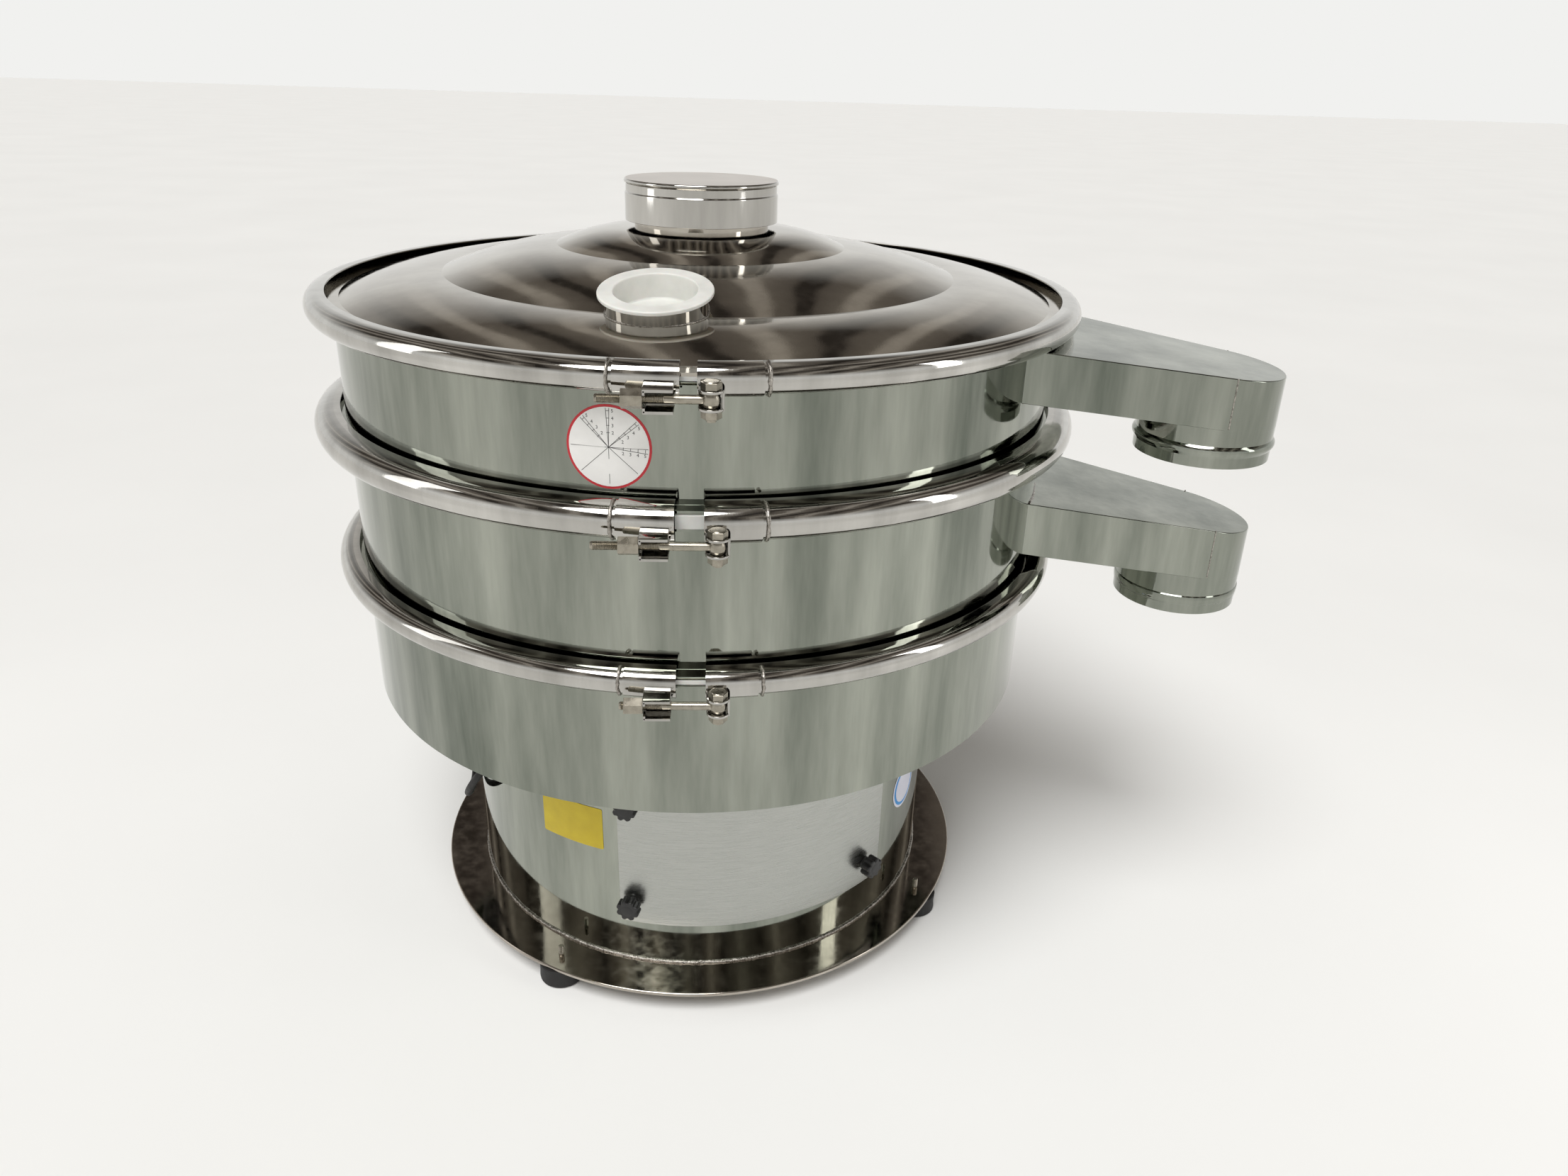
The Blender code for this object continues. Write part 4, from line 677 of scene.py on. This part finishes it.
# Sieve frames and their outlets
# Two rolled barrels with flat flanges. Each has a folded and welded side duct that slopes down to
# a round end, where a pipe with a rolled bead hands the powder on.
lower_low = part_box("body_seal")[1][2] + 0.0003
lower_top = lower_low + 0.1877
upper_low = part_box("screen_seal")[1][2] + 0.0003
upper_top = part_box("lid_seal")[0][2] - 0.0003
ROOT_X, ROOT_HALF = 0.476, 0.150
outlets = {
    "upper": {"turn": radians(-18), "top": upper_top - 0.012, "pipe_x": 0.7105, "deep": 0.067,
              "slope": radians(6), "drop": 0.0525, "end_r": 0.0880, "proud": 0.0034},
    "lower": {"turn": radians(-6.5), "top": lower_top - 0.084, "pipe_x": 0.740, "deep": 0.076,
              "slope": radians(10), "drop": 0.060, "end_r": 0.0900, "proud": 0.0014},
}


def make_outlet(tag, about_it):
    """The duct, its round end and pipe, and the seams and weld beads on them."""
    pipe_x, deep, slope = about_it["pipe_x"], about_it["deep"], about_it["slope"]
    run, end_r = pipe_x - ROOT_X, about_it["end_r"]
    slant = asin(end_r / hypot(run, ROOT_HALF)) - atan2(ROOT_HALF, run)
    touch = QUARTER + slant
    reach = degrees(touch)
    outline = [(ROOT_X, -ROOT_HALF), (ROOT_X, ROOT_HALF)]
    outline[1:1] = arc(pipe_x, 0, end_r, end_r, -reach, reach / 24, 49)
    top, low = about_it["top"], about_it["top"] - deep
    duct = flat_solid(f"{tag}_duct", outline, low, top, 0.0014)
    for vertex in duct.data.vertices:
        vertex.co.z -= (vertex.co.x - ROOT_X) * tan(slope)
    fall = run * tan(slope)
    end = low - fall - about_it["drop"]
    bore = rod_between("bore", end_r - 0.0025, end - 0.01, low - fall + deep * 0.55, 96)
    cut_with(duct, place_mesh(bore, Matrix.Translation((pipe_x, 0, 0))))
    skin = end_r - 0.0002
    rim = skin - 0.002
    pipe_profile = [(skin, low - fall + 0.020), (skin, end + 0.029), (skin + 0.0012, end + 0.0275)]
    pipe_profile += arc(skin, end + 0.022, about_it["proud"], 0.0055, 60, -24, 6)
    pipe_profile += [(skin + 0.0008, end + 0.0155), (skin - 0.0002, end + 0.0140), (skin - 0.0006, end),
                     (rim, end), (rim, low - fall + 0.020), (skin, low - fall + 0.020)]
    pipe = drawn_up(f"{tag}_pipe", pipe_profile, 120, (pipe_x, 0))
    seam_parts = []
    for side in (-1, 1):
        seam = rod_between("seam", 0.0009, low - fall - 0.0002, top - fall - 0.002, 10)
        place_mesh(seam, Matrix.Translation((pipe_x + (end_r - 0.0001) * cos(touch),
                                             side * (end_r - 0.0001) * sin(touch), 0)))
        lumpy(seam, 0.00025, 260, 5 + side)
        seam_parts.append(seam)
    root_path = []
    for way, level in ((1, top - 0.0005), (-1, low + 0.0005)):
        for index in range(41):
            y = way * ROOT_HALF * 0.965 * (1 - 2 * index / 40)
            x = sqrt(BARREL_R ** 2 - y * y)
            root_path.append((x, y, level - (x - ROOT_X) * tan(slope)))
        x, y, height = root_path[-1]
        root_path += [(x, y, height - way * (deep - 0.001) * index / 12) for index in range(1, 12)]
    root = bead_along(f"{tag}_root", root_path, 0.0024, True)
    lumpy(root, 0.0011, 210, 11)
    place = about(about_it["turn"], 0)
    body = joined(f"{tag}_outlet_duct", duct, pipe)
    on_stack(place_mesh(finish_mesh(body, smooth=30), place), barrel_steel_painted_reflection)
    weld = joined(f"{tag}_outlet_welds", root, *seam_parts)
    on_stack(place_mesh(finish_mesh(weld, smooth=80), place), weld_steel)


def bead_along(name, path, thick, closed=False):
    """A round bead that follows a path, as a mesh."""
    bead = new_curve(name, dimensions="3D", bevel_depth=thick, bevel_resolution=2, use_fill_caps=not closed)
    run_through(bead, "POLY", path).use_cyclic_u = closed
    return as_mesh(name, bead)


def frame_barrel(name, low, top, extra):
    profile = [(BARREL_IN, top), (JOINT_R, top), (JOINT_R, top - 0.004), (BARREL_R, top - 0.004),
               (BARREL_R, low + 0.004), (JOINT_R, low + 0.004), (JOINT_R, low), (BARREL_IN, low)]
    return finish_mesh(drawn_up(name, profile + extra + [(BARREL_IN, top)], 240), 0.0006, 2)


dome_edge = lower_low + 0.021
dome = [(BARREL_IN * index / 12, dome_edge + 0.062 * (1 - (index / 12) ** 2)) for index in range(13)]
dome_under = [(radius, height - 0.0025) for radius, height in reversed(dome)]
lower_barrel = frame_barrel("lower_frame_barrel", lower_low, lower_top, dome_under + dome)
on_stack(lower_barrel, barrel_steel_painted_reflection, "lower_frame")
on_stack(frame_barrel("upper_frame_barrel", upper_low, upper_top, []), barrel_steel_painted_reflection, "upper_frame")
for tag, about_it in outlets.items():
    make_outlet(tag, about_it)


# Springs
# Six coils of 6 mm bright steel wire with closed ends, between the pegs of the drum and of the
# motor plate.
for index in range(6):
    spring_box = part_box(f"spring_{index + 1}")
    x, y = ((spring_box[0][side] + spring_box[1][side]) / 2 for side in (0, 1))
    foot_z, head_z = spring_box[0][2] + 0.003, spring_box[1][2] - 0.003
    coil = []
    for step in range(161):
        share = step / 160
        rise = min(max((share - 0.15) / 0.70, 0), 1)
        angle = share * 5 * tau
        coil.append((x + 0.021 * cos(angle), y + 0.021 * sin(angle),
                     foot_z + (head_z - foot_z) * rise))
    spring = finish_mesh(bead_along(f"coil_spring_{index + 1}", coil, 0.0029), smooth=60)
    paint(spring, zinc)
    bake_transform(spring)
    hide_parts(f"spring_{index + 1}")


# Gauge sticker
# A round printed sticker on the upper barrel that shows the stroke of the vibration by eye:
# a red rim, a white field and thin wedges of black lines from the middle, with plain numbers.
white_vinyl = vinyl("white_vinyl", "e2e1de", "efeeeb")
red_print = vinyl("red_print", "b3202a", "c4303a")
black_print = vinyl("black_print", "161616", "262626")
gauge_place = (BARREL_R, radians(-10) - QUARTER, deck + 0.8332)
gauge_rim = flat_patch("gauge_rim", 0.094, 0.094, 0.0469, 0.0002)
on_stack(rolled_on(gauge_rim, *gauge_place), red_print)
gauge_field = flat_patch("gauge_field", 0.0885, 0.0885, 0.0442, 0.0004)
on_stack(rolled_on(gauge_field, *gauge_place), white_vinyl)
marks = []


def ink_line(start, end, wide=0.0005):
    """A thin printed line on the flat sticker."""
    a, b = Vector((*start, 0)), Vector((*end, 0))
    side = (b - a).normalized().cross(Vector((0, 0, 1))) * wide / 2
    steps = max(1, round((b - a).length / 0.004))
    run = [a + (b - a) * index / steps for index in range(steps + 1)]
    outline = [(spot + side).xy[:] for spot in run] + [(spot - side).xy[:] for spot in reversed(run)]
    marks.append(flat_solid("ink", outline, 0.0006, 0.0007))


for heading, spread in ((90, 2.5), (41, 2.5), (-4, 3.5), (132, 2.5)):
    middle = radians(heading)
    for side in (-1, 1):
        angle = radians(heading + side * spread)
        ink_line((0, 0), (0.043 * cos(angle), 0.043 * sin(angle)))
    for index, digit in enumerate("2345"):
        reach = 0.016 + 0.008 * index
        tick = Vector((reach * cos(middle), reach * sin(middle)))
        side = Vector((-sin(middle), cos(middle)))
        ink_line(tick - side * 0.0018, tick + side * 0.0018)
        words = bpy.data.curves.new("gauge_digit", "FONT")
        set_all(words, {"body": digit, "size": 0.0052, "align_x": "CENTER", "extrude": 0.00005,
                        "resolution_u": 3})
        spot = tick - side * 0.0052
        beside = Matrix.Translation((spot.x, spot.y - 0.0016, 0.00065))
        marks.append(place_mesh(as_mesh("gauge_digit", words), beside))
for heading in (180, 222, 318):
    angle = radians(heading)
    ink_line((0, 0), (0.042 * cos(angle), 0.042 * sin(angle)))
ink_line((0, 0), (0, -0.013))
ink_line((0, -0.030), (0, -0.041))
on_stack(rolled_on(joined("gauge_marks", *marks), *gauge_place), black_print)


# Seals
# White food-grade silicone: flat rings in the plain joints and a U section round the screen frame.
silicone = mottled("white_silicone", "d9d9d4", "e9e9e4", 30, (0.35, 0.5), 0.00005,
                   {"IOR": 1.41, "Subsurface Weight": 0.1, "Subsurface Scale": 0.004})
for node in ("body_seal", "lid_seal"):
    low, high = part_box(node)[0][2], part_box(node)[1][2]
    ring = drawn_up(node + "_ring", band(BARREL_IN, JOINT_R, low, high), 240)
    settle(finish_mesh(ring, 0.0008), "sieve_stack", "silicone", silicone, node)
low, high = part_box("screen_seal")[0][2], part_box("screen_seal")[1][2]
groove_low = low + 0.0045
groove_high = groove_low + 0.0066
u_ring = drawn_up("screen_seal_ring", [
    (0.503, high), (0.5223, high), (0.5223, low), (0.503, low), (0.503, groove_low),
    (0.5193, groove_low), (0.5193, groove_high), (0.503, groove_high), (0.503, high)], 240)
settle(finish_mesh(u_ring, 0.0006), "sieve_stack", "silicone", silicone, "screen_seal")


# Lid
# Spun from 2.5 mm stainless in three crowned zones, with a rolled neck for the feed and a short
# tube for the observation port welded into its front.
lid_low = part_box("lid")[0][2]


def crowned(inner_r, inner_rise, outer_r, outer_rise):
    zone = []
    for index in range(1, 12):
        share = index / 12
        bulge = 0.006 * 4 * share * (1 - share)
        zone.append((inner_r + (outer_r - inner_r) * share,
                     lid_low + inner_rise + (outer_rise - inner_rise) * share + bulge))
    return zone


crown = [(0.0935, lid_low + 0.085)] + crowned(0.0935, 0.085, 0.202, 0.062) + [(0.202, lid_low + 0.062)]
crown += crowned(0.202, 0.062, 0.357, 0.028) + [(0.357, lid_low + 0.028)]
crown += crowned(0.357, 0.028, 0.490, 0.004)
neck_top = lid_low + 0.1435
lid_profile = [(0.0915, neck_top), (0.1025, neck_top), (0.1025, neck_top - 0.005), (0.0935, neck_top - 0.005)]
lid_profile += crown + [(0.490, lid_low + 0.004), (JOINT_R, lid_low + 0.004), (JOINT_R, lid_low),
                        (0.4875, lid_low)]
lid_profile += [(radius, height - 0.0025) for radius, height in reversed(crown[1:])]
lid_profile += [(0.0915, lid_low + 0.0825), (0.0915, neck_top)]
dome_lid = drawn_up("lid_dome", lid_profile, 240)
port_turn, port_r = radians(-97.1), 0.345
port_rise = 0.062 + (0.028 - 0.062) * (port_r - 0.202) / (0.357 - 0.202)
port = about(port_turn, port_r, lid_low + port_rise) @ Matrix.Rotation(radians(12), 4, "Y")
finish_mesh(dome_lid)
port_cutter = rod_between("port_cutter", 0.0573, -0.05, 0.05, 96)
cut_with(dome_lid, place_mesh(port_cutter, port))
on_stack(finish_mesh(dome_lid, 0.0011, 3, 30, 14), lid_steel, "lid")
tube = drawn_up("port_tube", band(0.0573, 0.0593, -0.014, 0.022), 96, (0, 0))
on_stack(place_mesh(finish_mesh(tube, 0.0006), port), ring_steel)


# Weld at the port's foot
# A fine welded bead, polished down with the lid, where the tube meets it.
def on_lid(x, y):
    """Height of the lid's outside at a place."""
    radius = hypot(x - AXIS_X, y - AXIS_Y)
    for (r0, z0), (r1, z1) in zip(crown, crown[1:]):
        if r0 <= radius <= r1:
            return z0 + (z1 - z0) * (radius - r0) / (r1 - r0)
    return crown[-1][1]


port_weld_path = []
for x, y in arc(0, 0, 0.0596, 0.0596, 0, 3.75, 96):
    spot = port @ Vector((x, y, 0))
    port_weld_path.append((spot.x, spot.y, on_lid(spot.x, spot.y) + 0.0004))
port_weld = bead_along("port_weld", port_weld_path, 0.0013, True)
lumpy(port_weld, 0.0003, 160, 2)
on_stack(finish_mesh(port_weld, smooth=80), weld_steel)


# Feed cap
# A turned and polished cap with a rolled bead, a groove and a band that slides over the neck.
cap_low, cap_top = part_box("feed_cap")[0][2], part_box("feed_cap")[1][2]
cap_profile = [(0, cap_top), (0.1040, cap_top), *arc(0.1045, cap_top - 0.0032, 0.0027, 0.0032, 75, -22, 8)]
cap_profile += [(0.1050, cap_top - 0.0085), (0.1050, cap_top - 0.0165), (0.1062, cap_top - 0.0185),
                (0.1062, cap_low), (0.1036, cap_low), (0.1036, cap_top - 0.003), (0, cap_top - 0.003)]
cap = drawn_up("feed_cap_turning", cap_profile, 180)
settle(finish_mesh(cap, 0.0005), "feed_cap", "polished_steel", ring_steel, "feed_cap")
# The top disc keeps a pale satin finish.
satin = mottled("pale_satin_disc", "d3cfca", "dedad5", 60, (0.45, 0.55), 0.00002, {"Metallic": 0.25})
cap.data.materials.append(satin)
for face in cap.data.polygons:
    if face.normal.z > 0.9 and face.center.z > cap_top - 0.0006:
        face.material_index = 1


# Port plug
# A moulded white silicone cup with a soft rim, pushed into the port.
plug_profile = [(0, -0.0027), (0.0440, -0.0027), (0.0455, -0.0010), (0.0468, 0.0100), (0.0475, 0.0215),
                (0.0482, 0.0262), (0.0492, 0.0273), (0.0648, 0.0273), (0.0662, 0.0266), (0.0667, 0.0255),
                (0.0667, 0.0223), (0.0570, 0.0223), (0.0540, -0.0067), (0, -0.0067)]
plug = drawn_up("port_plug_cup", plug_profile, 96, (0, 0))
settle(place_mesh(finish_mesh(plug, 0.0008), port), "port_plug", "silicone", silicone, "port_plug")


# Clamp rings
# Split rings of rolled and polished stainless strip with a broad round face. A sleeve is welded
# over each end, and the bracket and the clevis of the closure are welded on the sleeves.
ring_levels = {
    1: (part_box("lid_seal")[0][2] + 0.003, 0.0073, 0.0145, 0.018),
    2: ((low + high) / 2, 0.0121, 0.022, 0.032),
    3: (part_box("body_seal")[0][2] + 0.003, 0.0073, 0.0145, 0.034),
}


def open_gap(piece, half_gap, keep=pi):
    """Opens a turned ring at the front, squares its ends at the gap and closes them."""
    def in_gap(angle, radius, height):
        in_front = sin(angle) < 0 and abs(radius * cos(angle)) < half_gap
        return in_front or away_from(angle, -QUARTER) > keep

    drop_faces(piece, in_gap)
    bm = bmesh.new()
    bm.from_mesh(piece.data)
    for edge in [e for e in bm.edges if e.is_boundary]:
        for vertex in edge.verts:
            dx, dy = vertex.co.x - AXIS_X, vertex.co.y - AXIS_Y
            radius = hypot(dx, dy)
            if dy < 0 and abs(dx) < half_gap + 0.02:
                dx = copysign(half_gap, dx)
                vertex.co.x = AXIS_X + dx
                vertex.co.y = AXIS_Y - sqrt(radius * radius - dx * dx)
    bmesh.ops.holes_fill(bm, edges=[e for e in bm.edges if e.is_boundary], sides=0)
    bm.to_mesh(piece.data)
    bm.free()


def ring_face(level, half, bulge, out=0.0):
    """The round outer face from the top strip to the lower edge."""
    top = half + 0.009
    face = []
    for index in range(17):
        angle = radians(88 - 176 * index / 16)
        face.append((0.514 + (0.005 + bulge) * cos(angle) ** 0.75 + out,
                     level + (top + out) * sin(angle)))
    return face


def at_front(x, radius, height):
    """Places a section of (outward, up), extruded along Z, at the front with its length towards -X."""
    return Matrix(((0, 0, -1, AXIS_X + x), (-1, 0, 0, AXIS_Y - radius), (0, 1, 0, height), (0, 0, 0, 1)))


def rectangle(left, right, half):
    return [(left, -half), (right, -half), (right, half), (left, half)]


for number, (level, half, bulge, gap) in ring_levels.items():
    top = half + 0.009
    profile = [(0.506, level + top), (0.514, level + top)] + ring_face(level, half, bulge)
    profile += [(0.514, level - top), (0.512, level - top + 0.002), (0.5193, level - half - 0.0003),
                (0.517 + bulge, level), (0.5193, level + half + 0.0003), (0.506, level + top - 0.002),
                (0.506, level + top)]
    ring = drawn_up(f"clamp_ring_{number}_strip", profile, 300)
    open_gap(ring, gap / 2)
    on_stack(finish_mesh(ring, 0.0005, 2), ring_steel, f"clamp_ring_{number}")
    skin = ring_face(level, half, bulge, 0.0021)
    skin += [(radius - 0.003, height) for radius, height in reversed(ring_face(level, half, bulge, 0.0021))]
    sleeve = drawn_up(f"clamp_sleeve_{number}", skin + [skin[0]], 300)
    open_gap(sleeve, gap / 2, radians(8.8))
    on_stack(finish_mesh(sleeve, 0.0005, 2), ring_steel)
    beads = []
    for side in (-1, 1):
        angle = -QUARTER + side * radians(9.0)
        path = [(AXIS_X + radius * cos(angle), AXIS_Y + radius * sin(angle), height)
                for radius, height in ring_face(level, half, bulge, 0.0006)]
        bead = bead_along("sleeve_bead", path, 0.0021)
        lumpy(bead, 0.0013, 240, number * 2 + side)
        beads.append(bead)
    on_stack(finish_mesh(joined(f"sleeve_welds_{number}", *beads), smooth=80), weld_steel)
    radius, height = JOINT_R + bulge + 0.0135, level - 0.014
    right = -gap / 2 - 0.005
    root = -0.0185
    bracket_section = [(root, 0.016), (root + 0.0045, 0.016), (0.009, 0.0142), (0.013, 0.0125),
                       (0.013, 0.0095), (root + 0.0045, 0.0095), (root + 0.0045, -0.0095),
                       (0.013, -0.0095), (0.013, -0.0125), (root, -0.0125)]
    bracket = flat_solid("bracket", bracket_section, 0, 0.031, 0.0008)
    place_mesh(bracket, at_front(right, radius, height))
    slot_half = 0.0065
    end_section = [(root, 0.013), (0.013, 0.011), (0.013, slot_half), (0, slot_half)]
    end_section += arc(0, 0, slot_half, slot_half, 110, 20, 8)
    end_section += [(0, -slot_half), (0.013, -slot_half), (0.013, -0.011), (root, -0.011)]
    bracket_end = place_mesh(flat_solid("bracket_end", end_section, 0, 0.003, 0.0006),
                             at_front(right - 0.028, radius, height))
    pivot_x = gap / 2 + 0.0145
    plates = []
    clevis_outline = [(-0.0135, root), *arc(0, -0.0015, 0.0135, 0.0135, 180, -15, 13), (0.0135, root)]
    pivot_hole = arc(0, 0, 0.0054, 0.0054, 0, 15, 24)
    pivot_at = Matrix.Translation((AXIS_X + pivot_x, AXIS_Y - radius, height))
    for low_z in (-0.0108, 0.0078):
        plate = flat_solid("clevis_plate", clevis_outline, low_z, low_z + 0.003, 0.0006, (pivot_hole,))
        plates.append(place_mesh(plate, pivot_at @ Matrix.Rotation(pi, 4, "X")))
    back = flat_solid("clevis_back", rectangle(-0.0135, 0.0135, 0.0108), 0, 0.003, 0.0006)
    place_mesh(back, pivot_at @ Matrix.Translation((0, 0.0185, 0)) @ Matrix.Rotation(QUARTER, 4, "X"))
    web = flat_solid("clevis_web", rectangle(root, 0.004, 0.0108), 0, 0.003, 0.0006)
    place_mesh(web, at_front(pivot_x + 0.0135, radius, height))
    closure = joined(f"closure_{number}_brackets", bracket, bracket_end, *plates, back, web)
    on_stack(finish_mesh(closure), ring_steel)


# Closure bolts
# Zinc-plated M10 eye bolts that swing on hexagon bolts, with long hexagon nuts.
def hexagon(corner_r):
    return arc(0, 0, corner_r, corner_r, 0, 60, 6)


LYING = Matrix.Rotation(-QUARTER, 4, "Y")
rod_lengths = {1: 0.117, 2: 0.134, 3: 0.112}
for number, (level, half, bulge, gap) in ring_levels.items():
    pivot_x = gap / 2 + 0.0145
    pivot_place = Matrix.Translation((AXIS_X + pivot_x, AXIS_Y - JOINT_R - bulge - 0.0135, level - 0.014))
    shank = drawn_up("pivot_shank", [(0, 0.014), (0.005, 0.014), (0.005, -0.0225), (0, -0.0225)], 32, (0, 0))
    head = flat_solid("pivot_head", hexagon(0.011), 0.0111, 0.0186, 0.0006)
    hex_nut = flat_solid("pivot_nut", hexagon(0.0108), -0.0189, -0.0111, 0.0006)
    washer = drawn_up("pivot_washer", [(0, 0.0195), (0.0078, 0.0195), (0.0086, 0.0186), (0, 0.0186)],
                      32, (0, 0))
    pivot = finish_mesh(joined(f"closure_pivot_{number}_bolt", shank, head, hex_nut, washer), smooth=30)
    settle(place_mesh(pivot, pivot_place), "sieve_stack", "zinc_steel", zinc, f"closure_pivot_{number}")
    length = rod_lengths[number]
    eye_half = [(0.0053, 0.0073), (0.0072, 0.0073), (0.0086, 0.0052), (0.0094, 0.0026)]
    eye_other = [(radius, -rise) for radius, rise in reversed(eye_half)]
    eye = drawn_up("swing_eye", [*eye_half, (0.0095, 0.0), *eye_other, eye_half[0]], 48, (0, 0))
    bracket_end_at = pivot_x + gap / 2 + 0.036
    shank_profile = [(0, 0.007), (0.0049, 0.007), (0.0049, bracket_end_at - 0.022)]
    at = bracket_end_at - 0.021
    while at < length - 0.0025:
        shank_profile += [(0.0044, at), (0.0050, at + 0.00065)]
        at += 0.0013
    shank_profile += [(0.0042, length - 0.0005), (0.0038, length), (0, length)]
    screw = drawn_up("swing_shank", shank_profile, 28, (0, 0))
    place_mesh(screw, LYING)
    bolt = finish_mesh(joined(f"swing_bolt_{number}_forging", eye, screw), smooth=40)
    settle(place_mesh(bolt, pivot_place), f"swing_bolt_{number}", "zinc_steel", zinc, f"swing_bolt_{number}")
    start = bracket_end_at + 0.0003
    nut_name = f"clamp_nut_{number}"
    thread_bore = arc(0, 0, 0.0053, 0.0053, 0, 15, 24)
    long_nut = flat_solid(nut_name + "_long", hexagon(0.0105), start, start + 0.022, 0.0008, (thread_bore,))
    place_mesh(long_nut, LYING)
    settle(place_mesh(finish_mesh(long_nut, smooth=30), pivot_place), nut_name, "zinc_steel", zinc, nut_name)


# Screen
# The woven wire cloth is stretched over a stainless ring that the U seal grips.
wire, tree, shader, coords = new_finish("woven_stainless_wire", {"Metallic": 1.0, "Roughness": 0.35})
# The real weave is too fine to show, so it is drawn at 2 mm.
warp, weft = [add_node(tree, "ShaderNodeTexWave", {"wave_type": "BANDS", "bands_direction": way},
                       {"Scale": 160.0}, {"Vector": (coords, "Object")}) for way in "XY"]
weave = add_node(tree, "ShaderNodeMath", {"operation": "MAXIMUM"}, links={0: (warp, "Fac"), 1: (weft, "Fac")})
weave = (weave, "Value")
# The pale bands are the wires' own colour. The near-black squares between them are painted shade for the
# shaded space seen through the openings.
driven(tree, shader, weave, ("2b2a28", "b5b3ac"), low=0.35, high=0.8)
tree.links.new(bump_of(tree, weave, 0.0002).outputs["Normal"], shader.inputs["Normal"])
paint(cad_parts["screen_mesh"], wire)
paint(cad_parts["screen_frame"], brushed)


# Motor and weights
# A painted cast-iron vibration motor with plain iron weights on its shaft.
cast_paint = mottled("green_painted_casting", "33433d", "47564f", 8, (0.4, 0.6), 0.0003)
plain_iron = mottled("plain_iron_plate", "3c3b39", "57544f", 9, (0.45, 0.7), 0.00015, METAL)
for finish, *nodes in ((cast_paint, "motor_housing", "motor_end_shield_top", "motor_end_shield_bottom"),
                       (plain_iron, "upper_weight", "lower_weight", "lower_phase_weight"),
                       (zinc, "motor_bearing_top", "motor_bearing_bottom", "rotor_shaft"),
                       (black_rubber, "lead_grommet"),
                       (black_plastic, "lead_connector")):
    for node in nodes:
        paint(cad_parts[node], finish)


# Floor, light and surroundings
# A plain pale floor under one very wide soft lamp, with two upright strips beside the object.
# The room is pale at the horizon and warm grey overhead, with faint wavy roof lines.
clear()
bpy.ops.mesh.primitive_plane_add(size=120, location=(0, 0, 0))
floor = named("studio_floor")
paint(floor, mottled("pale_studio_floor", "f0f0ee", "f3f3f1", 900, (0.8, 0.9), 0.00001,
                     {"Specular IOR Level": 0.1}))


def lamp_at(name, kind, place, aim, power, **settings):
    lamp = bpy.data.lights.new(name, kind)
    lamp.energy = power
    holder = linked(name, set_all(lamp, settings))
    holder.location = place
    holder.rotation_euler = (Vector(aim) - Vector(place)).to_track_quat("-Z", "Y").to_euler()


lamp_at("overhead_soft_lamp", "SUN", (-0.9, -1.9, 4.0), (0, 0, 0), 2.5, angle=radians(34))
lamp_at("right_strip", "AREA", (2.1, -1.0, 1.5), (0.2, 0, 0.6), 6, shape="RECTANGLE", size=0.35, size_y=1.4)
lamp_at("left_strip", "AREA", (-2.2, -0.4, 1.5), (0, 0, 0.6), 4, shape="RECTANGLE", size=0.5, size_y=1.4)
room = bpy.data.worlds.new("soft_room")
bpy.context.scene.world = room
room.use_nodes = True
tree = room.node_tree
way_out = add_node(tree, "ShaderNodeTexCoord")
split = add_node(tree, "ShaderNodeSeparateXYZ", links={"Vector": (way_out, "Generated")})
roof = add_node(tree, "ShaderNodeTexWave", {"wave_type": "BANDS", "bands_direction": "X"},
                {"Scale": 1.6, "Distortion": 5.0, "Detail": 2.0}, {"Vector": (way_out, "Generated")})
roof_tint = ramp(tree, roof, "Fac", ((0.04, linear("36322e")), (0.16, linear("635d57")),
                                     (0.8, linear("736d66")), (0.97, linear("a8a29a"))))
height = add_node(tree, "ShaderNodeMapRange", values={"From Min": 0.17, "From Max": 0.48},
                  links={"Value": (split, "Z")})
sky = add_node(tree, "ShaderNodeMix", {"data_type": "RGBA"})
tree.links.new(height.outputs["Result"], sky.inputs["Factor"])
tree.links.new(roof_tint.outputs["Color"], sky.inputs[7])
sky.inputs[6].default_value = linear("f1f1ef")
tree.links.new(sky.outputs[2], tree.nodes["Background"].inputs["Color"])
bpy.context.scene.view_settings.view_transform = "Standard"
